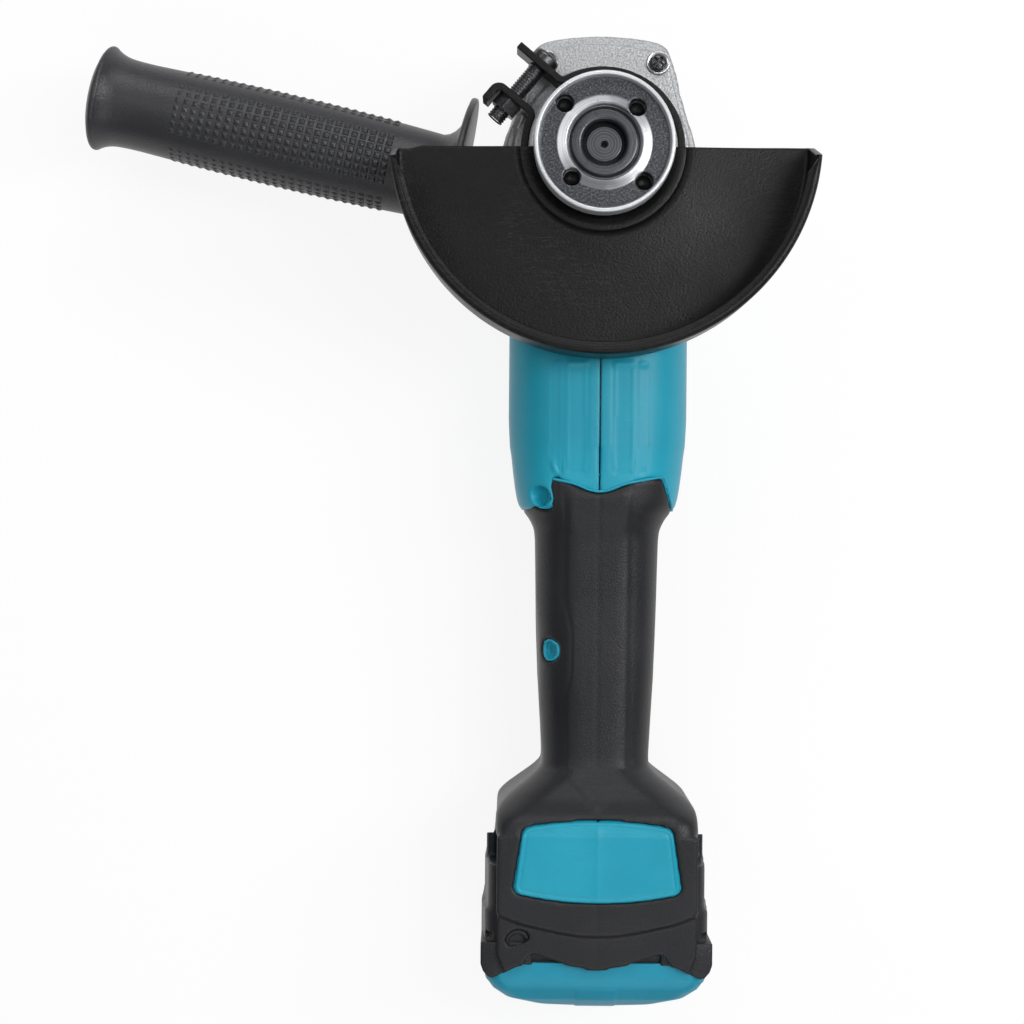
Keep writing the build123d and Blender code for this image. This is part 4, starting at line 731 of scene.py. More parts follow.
# Screw mouths on the left side. Each sits on a rounded corner of the body, whose centre is (centreX,
# centreZ) at y, start degrees up from level; it is turned up by so many degrees and made smaller.
mouths = [
    dict(y=-111.5, centreX=-7.5, centreZ=39.8, start=20.0, turn=24.0, size=0.86, fade=9.0, hold=18, end=56),
    dict(y=-162.0, centreX=-5.6, centreZ=38.0, start=14.0, turn=27.5, size=0.74, fade=14.0, hold=24, end=72),
]
mouthGrid = dict(rows=25, rowStep=2, rowStart=-24, columns=52, columnStep=4, columnStart=-76, bridge=(8, 16))
mouthReach = dict(length=21, lowAngle=-72, highAngle=92, least=7, plain=5.2, whole=12.2, flat=5)


def mouthFrame(points, mouth):
    # Distance along Y, angle and reach of points about the corner that a screw mouth sits on.
    x = mouth["centreX"] - points[:, 0]
    z = points[:, 2] - mouth["centreZ"]
    return points[:, 1] - mouth["y"], np.degrees(np.arctan2(z, x)), np.hypot(x, z)


def gridPlace(away, angle):
    grid = mouthGrid
    row = (away - grid["rowStart"]) / grid["rowStep"]
    return row, (angle - grid["columnStart"]) / grid["columnStep"]


def outlineTable(points, mouth):
    # The body's outer reach round that corner, by distance and angle; the mouth itself is bridged.
    away, angle, reach = mouthFrame(points, mouth)
    row, column = (np.round(value).astype(int) for value in gridPlace(away, angle))
    rows, columns = mouthGrid["rows"], mouthGrid["columns"]
    held = (row >= 0) & (row < rows) & (column >= 0) & (column < columns)
    table = np.zeros((rows, columns))
    np.maximum.at(table, (row[held], column[held]), reach[held])
    low, high = mouthGrid["bridge"]
    for place in range(low + 1, high):
        table[place] = table[low] + (table[high] - table[low]) * (place - low) / (high - low)
    for turn in range(3):
        table[1:-1] = (table[:-2] + 2 * table[1:-1] + table[2:]) / 4
        table[:, 1:-1] = (table[:, :-2] + 2 * table[:, 1:-1] + table[:, 2:]) / 4
    return table


def outlineReach(table, away, angle):
    row, column = gridPlace(away, angle)
    row = np.clip(row, 0, mouthGrid["rows"] - 1.001)
    column = np.clip(column, 0, mouthGrid["columns"] - 1.001)
    low, left = row.astype(int), column.astype(int)
    down, across = row - low, column - left
    first = table[low, left] * (1 - across) + table[low, left + 1] * across
    second = table[low + 1, left] * (1 - across) + table[low + 1, left + 1] * across
    return first * (1 - down) + second * down


def turnMouth(points, mouth):
    limits, table, start = mouthReach, mouth["table"], mouth["start"]
    away, angle, reach = mouthFrame(points, mouth)
    part = (np.abs(away) < limits["length"]) & (points[:, 0] < mouth["centreX"] + 1)
    part &= (angle > limits["lowAngle"]) & (angle < limits["highAngle"]) & (reach > limits["least"])
    away, angle, reach = away[part], angle[part], reach[part]
    before = outlineReach(table, away, angle)
    distance = np.hypot(away, np.radians(angle - start) * before)
    size = mouth["size"] + (1 - mouth["size"]) * within(distance, limits["plain"], limits["whole"])
    newAway = away * size
    turned = start + (angle - start) * size
    close = within(np.abs(turned - start), mouth["end"], mouth["hold"])
    near = within(np.abs(newAway), limits["flat"] + mouth["fade"], limits["flat"])
    turned += mouth["turn"] * close * smoothed(near)
    newReach = reach + outlineReach(table, newAway, turned) - before
    points[part, 0] = mouth["centreX"] - newReach * np.cos(np.radians(turned))
    points[part, 1] = mouth["y"] + newAway
    points[part, 2] = mouth["centreZ"] + newReach * np.sin(np.radians(turned))


def turnMouths(points, normals):
    # The mouths sit higher on the rounded corner, and are a little smaller.
    for mouth in mouths:
        turnMouth(points, mouth)


def mouthCup(mouth):
    # A shallow cup that closes a turned mouth.
    angle = mouth["start"] + mouth["turn"]
    reach = float(outlineReach(mouth["table"], np.array([0.0]), np.array([angle]))[0])
    outward = (-math.cos(math.radians(angle)), 0, math.sin(math.radians(angle)))
    x, z = mouth["centreX"] + outward[0] * reach, mouth["centreZ"] + outward[2] * reach
    wide = 4.7 * mouth["size"]
    profile = [(-3.4, 0), (-3.4, wide), (-1.2, wide), (-1.2, wide - 0.5), (-2.0, wide - 1.0)]
    profile += [(-2.5, wide - 2.0), (-2.6, 0)]
    return lathed("mouthCup", profile, 48, (x, mouth["y"], z), outward)


# Castings: the nose's half outline seen from above, the height it holds for, and the spring's seat
noseLook = dict(
    outline=[(0, 41.6), (7, 41.3), (13, 40.7), (20, 39.2), (22.4, 37.4), (23.6, 35.3),
        (24.7, 33.0), (25.9, 29.0), (27.3, 22.0), (29.0, 16.0), (30.4, 11.0), (32.3, 4.5)],
    low=-1, high=47,
)
flangeLook = dict(
    outline=[(0, 36.7), (6, 36.4), (12, 35.6), (18.6, 34.2), (21.2, 32.2), (22.6, 29.4),
        (24.2, 22.5), (25.3, 17.0), (26.8, 9.0), (28.0, 3.0)],
    low=45, high=50.6,
)
noseMiddle = 6.0
springSeat = dict(y=21, radius=6.5, z=8, near=0.75, seatZ=8.15)


def fitOutline(points, look):
    # Draws a casting's nose out or in until it has the given outline, but not near the lock spring.
    x, y = points[:, 0], points[:, 1] - noseMiddle
    angle, reach = np.degrees(np.arctan2(np.abs(x), y)), np.hypot(x, y)
    layer = (points[:, 2] > look["low"]) & (points[:, 2] < look["high"]) & (angle < 88)
    marks = np.arange(0, 89, 2)
    present = np.array([reach[layer & (np.abs(angle - mark) < 2.2)].max() for mark in marks])
    wantedAngle = [math.degrees(math.atan2(x, y - noseMiddle)) for x, y in look["outline"]]
    wantedReach = [math.hypot(x, y - noseMiddle) for x, y in look["outline"]]
    scale = np.interp(angle, marks, np.interp(marks, wantedAngle, wantedReach) / present)
    share = smoothed(within(reach / np.interp(angle, marks, present), 0.72, 0.94))
    share *= within(angle, 84, 76) * layer
    spring = readPoints(frame["nodes"]["lock_spring"].data)
    beyond = np.maximum(np.maximum(spring.min(axis=0) - points, points - spring.max(axis=0)), 0)
    share *= within(np.linalg.norm(beyond, axis=1), 3, 7)
    factor = 1 + (scale - 1) * share
    points[:, 0] *= factor
    points[:, 1] = noseMiddle + y * factor


def fitCase(points, normals):
    fitOutline(points, noseLook)
    inside = np.hypot(points[:, 0], points[:, 1] - springSeat["y"]) < springSeat["radius"]
    seat = inside & (np.abs(points[:, 2] - springSeat["z"]) < springSeat["near"])
    points[seat, 2] = np.maximum(points[seat, 2], springSeat["seatZ"])


def fitCover(points, normals):
    fitOutline(points, flangeLook)


# Softened copies of the CAD pieces, so that moulded and cast edges are rounded, and what shapes each
housingSteps = (turnMouths, easeFlutes, cutSeam, shapeApron, drawInApron, pressHole)
covers = ("left_grip_cover", "right_grip_cover")
housings = dict(voxel=0.7, rounds=4, finish="tealPlastic", steps=housingSteps)
softened = {
    "leftHousingSoft": dict(nodes=["left_housing"], **housings),
    "rightHousingSoft": dict(nodes=["right_housing"], **housings),
    "gripCoverSoft": dict(nodes=covers, voxel=0.68, rounds=9, finish="blackOvermould",
        steps=(turnMouths, creaseSeam, shapeApron)),
    "batteryUpperSoft": dict(nodes=["battery_upper_case"], voxel=0.65, rounds=4, finish="batteryBlack",
        steps=(shapeCheeks, sinkDeck)),
    "batteryLowerSoft": dict(nodes=["battery_lower_case"], voxel=0.5, rounds=5, finish="batteryTeal",
        steps=(raiseTeal, sinkSides)),
    "gearCaseSoft": dict(nodes=["gear_case"], voxel=0.6, rounds=3, finish="castCase", steps=(fitCase,)),
    "gearCoverSoft": dict(nodes=["gear_case_cover"], voxel=0.36, rounds=2, finish="castCase",
        steps=(fitCover,)),
    "lockNutSoft": dict(nodes=["lock_nut"], voxel=0.3, rounds=2, finish="platedNut", steps=()),
    "guardBandSoft": dict(nodes=["guard_band"], voxel=0.3, rounds=3, finish="blackSheet", steps=()),
    "switchKnobSoft": dict(nodes=["switch_knob"], voxel=0.25, rounds=3, finish="blackPlastic", steps=()),
    "batteryLatchSoft": dict(nodes=["battery_latch"], voxel=0.25, rounds=3, finish="blackPlastic", steps=()),
}
softMeshes = {}
for name, look in softened.items():
    softMeshes[name] = softCopy(look["nodes"], look["voxel"], look["rounds"])
skinPoints = np.concatenate([readPoints(softMeshes[name]) for name in ("leftHousingSoft", "gripCoverSoft")])
for mouth in mouths:
    mouth["table"] = outlineTable(skinPoints, mouth)
for name, look in softened.items():
    mesh = softMeshes[name]
    points, normals = readPoints(mesh), readNormals(mesh)
    for step in look["steps"]:
        step(points, normals)
    writePoints(mesh, points)
    first = look["nodes"][0]
    newPiece(name, mesh, look["finish"], bodyOf[first], look["nodes"])
for place, mouth in enumerate(mouths):
    newPiece("mouthCup" + str(place + 1), mouthCup(mouth), "tealPlastic", "tool")
print("softened pieces made")

# The lock button's spring: a merged copy of the CAD coil with a mesh of its own, in place of the CAD piece
springMesh = mergedCopy(["lock_spring"])
springPiece = newPiece("lockSpringCoil", springMesh, "bearingSteel", "tool", ["lock_spring"])
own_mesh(springPiece)
print("lock spring made")


def extruded(name, outline, low, high):
    # A flat outline in millimetres, given some height.
    count = len(outline)
    points = [(x, y, low) for x, y in outline] + [(x, y, high) for x, y in outline]
    faces = [tuple(reversed(range(count))), tuple(range(count, 2 * count))]
    sides = [(place, (place + 1) % count) for place in range(count)]
    faces += [(near, beside, beside + count, near + count) for near, beside in sides]
    return meshFrom(name, points, faces)


def bevelled(mesh, width):
    # Rounds a small block's edges.
    work = bmesh.new()
    work.from_mesh(mesh)
    bmesh.ops.bevel(work, geom=work.edges, offset=width * mm, segments=3, profile=0.5, affect="EDGES")
    work.to_mesh(mesh)
    work.free()
    return mesh


# Black corners that the battery shows beside its teal half
cornerLook = dict(
    outline=[(37.1, -254.4), (37.1, -261.4), (36.3, -263.7), (34.7, -265.5), (33.3, -266.0),
        (31.4, -265.1), (25.0, -261.6), (20.5, -261.6), (20.5, -254.4)],
    low=46.0, high=63.35, edge=0.45,
)
for side, label in ((-1, "batteryCornerLeft"), (1, "batteryCornerRight")):
    outline = [(x * side, y) for x, y in cornerLook["outline"]]
    block = bevelled(extruded(label, outline, cornerLook["low"], cornerLook["high"]), cornerLook["edge"])
    newPiece(label, block, "batteryBlack", "battery")

cupProfile = [(0, 0), (0, 2.2), (1.6, 2.7), (1.8, 3.2), (1.8, 4.6), (-0.6, 4.6), (-0.6, 0)]
holeCup = lathed("strapCup", cupProfile, 40, (*strapHole["middle"], strapHole["floorZ"]), (0, 0, 1))
newPiece("strapCup", holeCup, "blackOvermould", "tool")
print("battery corners and strap hole made")

# Cover screws: a domed head with a cross recess, in a bright seat
coverScrewLook = dict(
    places=[(-18.2, 30.2, 20.0), (18.2, 30.2, 50.0)], base=50.6, radius=2.85, rise=1.5, power=2.6, rings=20,
    crossHalf=0.5, crossLong=1.95, depth=1.0,
    seat=[(-0.6, 0), (-0.6, 3.75), (0.05, 3.75), (0.2, 3.6), (0.2, 3.35), (0.0, 3.1), (0.0, 0)],
)


def crossBar(look, thin, long):
    # 1 inside one bar of the cross recess.
    return within(thin, look["crossHalf"] + 0.1, look["crossHalf"] - 0.1) * within(
        long, look["crossLong"] + 0.15, look["crossLong"] - 0.15)


def coverScrewHead(look, x, y, turn):
    shares = [step / look["rings"] for step in range(look["rings"], 0, -1)]
    dome = []
    for share in shares:
        rise = look["rise"] * math.sqrt(1 - share ** look["power"])
        dome.append((rise, look["radius"] * share))
    profile = [(-0.5, 0), (-0.5, look["radius"])] + dome + [(look["rise"], 0)]
    head = lathed("coverScrewHead", profile, 96, (x, y, look["base"]), (0, 0, 1))
    points = readPoints(head)
    along, across = points[:, 0] - x, points[:, 1] - y
    cosine, sine = math.cos(math.radians(turn)), math.sin(math.radians(turn))
    first, second = np.abs(along * cosine + across * sine), np.abs(across * cosine - along * sine)
    cross = np.maximum(crossBar(look, first, second), crossBar(look, second, first))
    points[:, 2] -= cross * look["depth"] * (points[:, 2] > look["base"] + 0.5)
    writePoints(head, points)
    return head


for place, (x, y, turn) in enumerate(coverScrewLook["places"]):
    head = coverScrewHead(coverScrewLook, x, y, turn)
    newPiece("coverScrewHead" + str(place + 1), head, "darkScrews", "tool")
    seat = lathed("coverScrewSeat", coverScrewLook["seat"], 64, (x, y, coverScrewLook["base"]), (0, 0, 1))
    newPiece("coverScrewSeat" + str(place + 1), seat, "bearingSteel", "tool")
print("cover screw heads made")

# Guard: pressed half dish with a turned-in lip that runs out towards both ends
guardLook = {
    "back": 60.0, "front": 61.6, "segments": 260, "startAngle": 0.6, "endAngle": -180.4,
    "dish": [(26.4, 1.85), (29, 1.75), (32, 1.5), (36, 1.1), (40, 0.72), (44, 0.42), (48, 0.22),
        (53, 0.08), (58, 0.02), (62, 0.0)],
    "runOut": 6.0, "runOutRadius": 66.6, "lean": 0.3, "leanFrom": 62.0, "cornerRadius": 60.0,
}


def guardSection():
    # The sheet's outer and inner side as (radius, height), from the bore to the lip's edge.
    outer = [(radius, guardLook["back"]) for radius, rise in guardLook["dish"]]
    outer += arc((64.5, 63.0), 3.0, -90, 0, 8)
    outer += [(67.5, 68), (67.5, 74), (67.5, 79.5)]
    outer += arc((65.9, 80.4), 1.6, 0, 90, 7)
    outer += [(65.5, 82.0), (65.3, 81.75), (65.1, 81.5), (64.4, 81.45), (63.9, 81.3), (63.6, 81.0)]
    inner = [(radius, guardLook["front"] + rise) for radius, rise in guardLook["dish"]]
    inner += arc((64.5, 63.0), 1.4, -90, 0, 8)
    inner += [(65.9, 68), (65.9, 74), (65.9, 79.2), (65.85, 79.5), (65.8, 79.6), (65.7, 79.7), (65.6, 79.8)]
    inner += [(65.5, 79.85), (65.4, 79.9), (65.3, 79.9), (65.2, 79.95), (65.1, 80.0), (65.0, 80.0)]
    inner += [(64.8, 80.0), (64.4, 80.05), (63.9, 80.15), (63.6, 80.4)]
    return outer, inner


def guardEnds(radius, height):
    # Where a line round the guard starts and ends, in degrees; the walls lean at their ends.
    if radius <= guardLook["cornerRadius"]:
        return guardLook["startAngle"], guardLook["endAngle"]
    lowered = guardLook["lean"] * max(height - guardLook["leanFrom"], 0)
    start = math.degrees(math.asin((0.6 - lowered) / radius))
    end = math.degrees(math.asin((-0.6 - lowered) / radius))
    return start, -180 - end


def guardMesh():
    outer, inner = guardSection()
    count, steps = len(outer), guardLook["segments"]
    width = steps + 1
    points, faces = [], []
    for radius, height in outer + inner:
        start, end = guardEnds(radius, height)
        lip = height > 80.9 or (radius < 65.7 and height > 79.5)
        for step in range(width):
            angle = start + (end - start) * step / steps
            reach = radius
            if lip and radius < guardLook["runOutRadius"]:
                away = min(start - angle, angle - end) * math.radians(radius)
                share = min(away / guardLook["runOut"], 1)
                reach = guardLook["runOutRadius"] + (radius - guardLook["runOutRadius"]) * share
            turn = math.radians(angle)
            points.append((reach * math.cos(turn), reach * math.sin(turn), height))
    for place in [*range(count - 1), *range(count, 2 * count - 1)]:
        for near in range(place * width, place * width + steps):
            faces.append((near, near + 1, near + 1 + width, near + width))
    across = count * width
    for place in (0, count - 1):
        for near in range(place * width, place * width + steps):
            faces.append((near, near + 1, near + across + 1, near + across))
    for step in (0, steps):
        for near in range(step, (count - 1) * width + step, width):
            faces.append((near, near + width, near + across + width, near + across))
    return meshFrom("guardSheet", points, faces)


newPiece("guardSheet", guardMesh(), "blackSheet", "guard", ["guard_shell"])
hubLook = dict(inner=21.7, outer=27.0, low=62.9, high=63.5, steps=120)


def hubMesh():
    # The guard's turned-over inner edge, on the guard's side only.
    inner, outer, low, high, steps = hubLook.values()
    corners = [(inner, low), (outer, low), (outer, high - 0.25), (outer - 0.6, high), (inner, high)]
    count = len(corners)
    start, end = guardLook["startAngle"], guardLook["endAngle"]
    points = []
    for step in range(steps + 1):
        angle = math.radians(start + (end - start) * step / steps)
        points += [(radius * math.cos(angle), radius * math.sin(angle), height) for radius, height in corners]
    faces = [tuple(range(count)), tuple(reversed(range(steps * count, (steps + 1) * count)))]
    for near in range(0, steps * count, count):
        far = near + count
        for place in range(count):
            beside = (place + 1) % count
            faces.append((near + place, near + beside, far + beside, far + place))
    return meshFrom("guardHub", points, faces)


newPiece("guardHub", hubMesh(), "blackSheet", "guard")

# Black cups of painted shade in the lock nut's four pin holes, each given by its reach and angle
pinHoleShadowLook = dict(
    places=[(17.5, 136.0), (17.5, 316.0), (15.0, 47.0), (15.0, 227.0)], floorZ=67.2,
    profile=[(0, 0), (0, 2.68), (2.2, 2.72), (2.2, 2.62), (0.25, 2.55), (0.25, 0)],
)
for place, (reach, angle) in enumerate(pinHoleShadowLook["places"]):
    x, y = reach * math.cos(math.radians(angle)), reach * math.sin(math.radians(angle))
    floor = lathed("pinHoleShadow", pinHoleShadowLook["profile"], 36, (x, y, pinHoleShadowLook["floorZ"]), (0, 0, 1))
    # Each cup is a dark sheet standing in for the shade in its hole.
    newPiece("pinHoleShadow" + str(place + 1), floor, "blackSheet", "lock_nut")
print("guard made")

# Side handle: lathed grip with flange, swell, flare and rounded end. Profiles are (along, radius).
handleLook = {
    "origin": (-35.2, -8.6, 30.0), "axis": (-0.9749, 0.2227, 0.0), "segments": 160,
    "flangeAt": 11.8, "flangeRadius": 28.4, "neckAt": 20.4, "neckRadius": 14.3, "swell": 15.4,
    "flareAt": 119.1, "flareRadius": 14.6, "bore": 4.0, "boreDepth": 41.0,
    "root": [(14.3, 26.0), (14.5, 22.8), (14.9, 20.2), (15.6, 18.3), (16.9, 16.4), (18.6, 15.0)],
    "flare": [(119.1, 14.6), (124.6, 14.65), (128.6, 14.95), (131.4, 15.75), (133.2, 16.7), (134.0, 17.3)],
    "end": [(134.4, 17.5), (134.85, 17.55), (135.3, 17.4), (135.8, 16.95), (136.3, 16.1), (137.3, 13.5),
        (138.0, 10.0), (138.6, 6.0), (138.9, 2.5), (139.0, 0)],
}


def swellRadius(along):
    # The grip's radius between the neck and the flare.
    look = handleLook
    middle, half = (look["neckAt"] + look["flareAt"]) / 2, (look["flareAt"] - look["neckAt"]) / 2
    share = (along - middle) / half
    ends = look["neckRadius"] if share < 0 else look["flareRadius"]
    return look["swell"] - (look["swell"] - ends) * share * share


def handleProfile():
    look = handleLook
    face, radius = look["flangeAt"], look["flangeRadius"]
    profile = [(look["boreDepth"], 0), (look["boreDepth"], look["bore"]), (face, look["bore"]), (face, 14.0)]
    profile += [(face, radius - 0.7), (face + 0.2, radius - 0.2), (face + 0.7, radius)]
    profile += [(face + 1.5, radius), (face + 2.0, radius - 0.3)]
    profile += look["root"] + [(look["neckAt"], look["neckRadius"])]
    steps = 40
    for step in range(1, steps):
        along = look["neckAt"] + (look["flareAt"] - look["neckAt"]) * step / steps
        profile.append((along, swellRadius(along)))
    flare = eased([(along, radius, 0) for along, radius in look["flare"]], 5)
    return profile + [(point.x, point.y) for point in flare] + look["end"]


handleMesh = lathed(
    "handleSurface", handleProfile(), handleLook["segments"], handleLook["origin"], handleLook["axis"])
newPiece("handleSurface", handleMesh, "handleRubber", "handle", ["handle_grip"])


# Geometry Nodes helpers
def geometryTree(name, inputs):
    tree = bpy.data.node_groups.new(name, "GeometryNodeTree")
    sockets = {}
    for label, kind, value in inputs:
        sockets[label] = tree.interface.new_socket(label, in_out="INPUT", socket_type=kind)
        sockets[label].default_value = value
    tree.interface.new_socket("Geometry", in_out="OUTPUT", socket_type="NodeSocketGeometry")
    return tree, sockets, tree.nodes.new("NodeGroupInput").outputs, tree.nodes.new("NodeGroupOutput").inputs


def finishTree(tree, geometry, out, material):
    # Every tree ends with real mesh and its finish.
    real = addNode(tree, "GeometryNodeRealizeInstances", {0: geometry})
    painted = addNode(tree, "GeometryNodeSetMaterial", {"Geometry": real.outputs[0]})
    painted.inputs["Material"].default_value = material
    tree.links.new(painted.outputs[0], out["Geometry"])


def runTree(name, tree, sockets, values):
    # The tree's result as a mesh: inputs go in by their socket identifier before it is first evaluated.
    holder = bpy.data.objects.new(name + "Holder", bpy.data.meshes.new(name + "Start"))
    bpy.context.scene.collection.objects.link(holder)
    modifier = holder.modifiers.new("rows", "NODES")
    modifier.node_group = tree
    for label, value in values.items():
        modifier[sockets[label].identifier] = value
    return baked(holder)


studLook = {
    "Columns": 25, "Rows": 7, "Patches": 4, "Pitch": 2.96, "Row Angle": 10.0, "First Column": 36.6,
    "Middle": 69.75, "Half": 49.35, "Radius": 15.36, "Fall": 0.95, "Width": 2.1, "Height": 0.46,
    "Wear": 0.15, "Seed": 7,
}


def studTree():
    # Small pyramids in rows round the grip, in patches with smooth bands between.
    tree, sockets, given, out = geometryTree("gripStuds", [
        ("Columns", "NodeSocketInt", 20), ("Rows", "NodeSocketInt", 7), ("Patches", "NodeSocketInt", 4),
        ("Pitch", "NodeSocketFloat", 3.0), ("Row Angle", "NodeSocketFloat", 10.0),
        ("First Column", "NodeSocketFloat", 30.0),
        ("Middle", "NodeSocketFloat", 70.0), ("Half", "NodeSocketFloat", 50.0),
        ("Radius", "NodeSocketFloat", 15.0),
        ("Fall", "NodeSocketFloat", 1.0), ("Width", "NodeSocketFloat", 2.3),
        ("Height", "NodeSocketFloat", 0.7),
        ("Wear", "NodeSocketFloat", 0.1), ("Seed", "NodeSocketInt", 1),
    ])
    perPatch = maths(tree, "MULTIPLY", given["Columns"], given["Rows"])
    total = maths(tree, "MULTIPLY", perPatch, given["Patches"])
    cloud = addNode(tree, "GeometryNodePoints", {"Count": total})
    index = tree.nodes.new("GeometryNodeInputIndex").outputs[0]
    column = maths(tree, "MODULO", index, given["Columns"])
    line = maths(tree, "FLOOR", maths(tree, "DIVIDE", index, given["Columns"]))
    row = maths(tree, "MODULO", line, given["Rows"])
    patch = maths(tree, "FLOOR", maths(tree, "DIVIDE", line, given["Rows"]))
    along = maths(tree, "MULTIPLY_ADD", column, given["Pitch"], given["First Column"])
    middleRow = maths(tree, "MULTIPLY", maths(tree, "SUBTRACT", given["Rows"], 1.0), 0.5)
    turn = maths(tree, "MULTIPLY", maths(tree, "SUBTRACT", row, middleRow), given["Row Angle"])
    patchTurn = maths(tree, "DIVIDE", maths(tree, "MULTIPLY", patch, 360.0), given["Patches"])
    turn = maths(tree, "ADD", turn, patchTurn)
    turn = maths(tree, "RADIANS", turn)
    share = maths(tree, "DIVIDE", maths(tree, "SUBTRACT", along, given["Middle"]), given["Half"])
    fall = maths(tree, "MULTIPLY", maths(tree, "MULTIPLY", share, share), given["Fall"])
    reach = maths(tree, "SUBTRACT", given["Radius"], fall)
    place = addNode(tree, "ShaderNodeCombineXYZ", {
        "X": maths(tree, "MULTIPLY", maths(tree, "SINE", turn), reach),
        "Y": maths(tree, "MULTIPLY", maths(tree, "COSINE", turn), reach),
        "Z": along,
    })
    laid = {"Geometry": cloud.outputs[0], "Position": place.outputs[0]}
    moved = addNode(tree, "GeometryNodeSetPosition", laid)
    stud = addNode(tree, "GeometryNodeMeshCone", {
        "Vertices": 4, "Depth": given["Height"], "Radius Top": maths(tree, "MULTIPLY", given["Width"], 0.09),
        "Radius Bottom": maths(tree, "MULTIPLY", given["Width"], 0.7071),
    })
    quarter = (0, 0, math.radians(45))
    squared = addNode(tree, "GeometryNodeTransform", {"Geometry": stud.outputs["Mesh"], "Rotation": quarter})
    upright = (math.radians(-90), 0, 0)
    stood = addNode(tree, "GeometryNodeTransform", {"Geometry": squared.outputs[0], "Rotation": upright})
    facing = addNode(tree, "ShaderNodeCombineXYZ", {"Z": maths(tree, "MULTIPLY", turn, -1.0)})
    worn = addNode(tree, "FunctionNodeRandomValue", data_type="FLOAT_VECTOR")
    seedInput = [socket for socket in worn.inputs if socket.name == "Seed"][0]
    tree.links.new(given["Seed"], seedInput)
    lowest = maths(tree, "SUBTRACT", 1.0, given["Wear"])
    low = addNode(tree, "ShaderNodeCombineXYZ", {"X": 1.0, "Y": lowest, "Z": 1.0})
    tree.links.new(low.outputs[0], worn.inputs[0])
    worn.inputs[1].default_value = (1, 1, 1)
    placed = addNode(tree, "GeometryNodeInstanceOnPoints", {
        "Points": moved.outputs[0], "Instance": stood.outputs[0],
        "Rotation": facing.outputs[0], "Scale": worn.outputs[0],
    })
    finishTree(tree, placed.outputs[0], out, materials["handleRubber"])
    return tree, sockets


def handlePlace():
    # The handle's own frame: its axis as Z, and Y up.
    axis = Vector(handleLook["axis"]).normalized()
    up = Vector((0, 0, 1))
    across = up.cross(axis)
    turn = Matrix((across, up, axis)).transposed().to_4x4()
    return Matrix.Translation(Vector(handleLook["origin"]) * mm) @ turn @ Matrix.Scale(mm, 4)


studs, studSockets = studTree()
studMesh = runTree("gripStuds", studs, studSockets, studLook)
studMesh.transform(handlePlace())
newPiece("gripStuds", studMesh, "handleRubber", "handle")
studMesh.polygons.foreach_set("use_smooth", [False] * len(studMesh.polygons))
print("handle made")

# Clamp screw thread: turns of fine ridge along the shank
threadLook = {"Turns": 23, "Pitch": 0.95, "Radius": 2.55, "Ridge": 0.3}
clampLook = dict(start=(-20.4, 27.4, 56.6), earAngle=140.0, offset=1.6)


def threadTree():
    tree, sockets, given, out = geometryTree("threadTurns", [
        ("Turns", "NodeSocketInt", 10), ("Pitch", "NodeSocketFloat", 1.0),
        ("Radius", "NodeSocketFloat", 2.5), ("Ridge", "NodeSocketFloat", 0.3),
    ])
    step = addNode(tree, "ShaderNodeCombineXYZ", {"Z": given["Pitch"]})
    line = addNode(tree, "GeometryNodeMeshLine", {"Count": given["Turns"], "Offset": step.outputs[0]})
    ring = addNode(tree, "GeometryNodeCurvePrimitiveCircle", {"Resolution": 40, "Radius": given["Radius"]})
    wire = addNode(tree, "GeometryNodeCurvePrimitiveCircle", {"Resolution": 6, "Radius": given["Ridge"]})
    section = {"Curve": ring.outputs[0], "Profile Curve": wire.outputs[0]}
    swelled = addNode(tree, "GeometryNodeCurveToMesh", section)
    rows = {"Points": line.outputs[0], "Instance": swelled.outputs[0]}
    placed = addNode(tree, "GeometryNodeInstanceOnPoints", rows)
    finishTree(tree, placed.outputs[0], out, materials["darkScrews"])
    return tree, sockets


earTurn = math.radians(clampLook["earAngle"])
earOut = Vector((math.cos(earTurn), math.sin(earTurn), 0))
clampPull = Vector((-earOut.y, earOut.x, 0))
threads, threadSockets = threadTree()
threadMesh = runTree("clampThread", threads, threadSockets, threadLook)
threadFrame = Matrix((earOut, earOut.cross(clampPull) * -1, clampPull)).transposed().to_4x4()
threadStart = (Vector(clampLook["start"]) + clampPull * clampLook["offset"]) * mm
threadMesh.transform(Matrix.Translation(threadStart) @ threadFrame @ Matrix.Scale(mm, 4))
newPiece("clampThread", threadMesh, "darkScrews", "guard")
print("clamp thread made")

# Teal plate on the foot, with a raised border and a soft ridge at the parting line. The border's
# section is (distance inside the outline, height).
panelLook = dict(
    topHalf=23.8, bottomHalf=27.0, topY=-216.0, bottomY=-240.0, corner=2.6, ridge=0.3, ridgeReach=2.2,
    topRise=0.7, topBow=2.2, bottomDrop=1.4, bottomBow=3.2,
    step=0.28, startY=-215.0, length=27.5, gridHalf=28.2, thickness=0.9,
    border=[(0.0, -0.55), (0.25, 0.1), (0.6, 0.34), (1.0, 0.38), (1.3, 0.22), (1.55, -0.02), (1.8, 0.1),
        (2.2, 0.24), (3.0, 0.27), (99, 0.27)],
)
skin = surfaceTree(["left_housing", "right_housing", "left_grip_cover", "right_grip_cover"])


def panelInside(x, y):
    # How far inside the plate's outline a point lies, with rounded corners.
    look = panelLook
    share = (look["topY"] - y) / (look["topY"] - look["bottomY"])
    half = look["topHalf"] + (look["bottomHalf"] - look["topHalf"]) * share
    top = look["topY"] + look["topRise"] - look["topBow"] * (x / look["topHalf"]) ** 2
    bottom = look["bottomY"] - look["bottomDrop"] + look["bottomBow"] * (x / look["bottomHalf"]) ** 2
    side = half - abs(x)
    end = min(top - y, y - bottom)
    if side < look["corner"] and end < look["corner"]:
        return look["corner"] - math.hypot(look["corner"] - side, look["corner"] - end)
    return min(side, end)


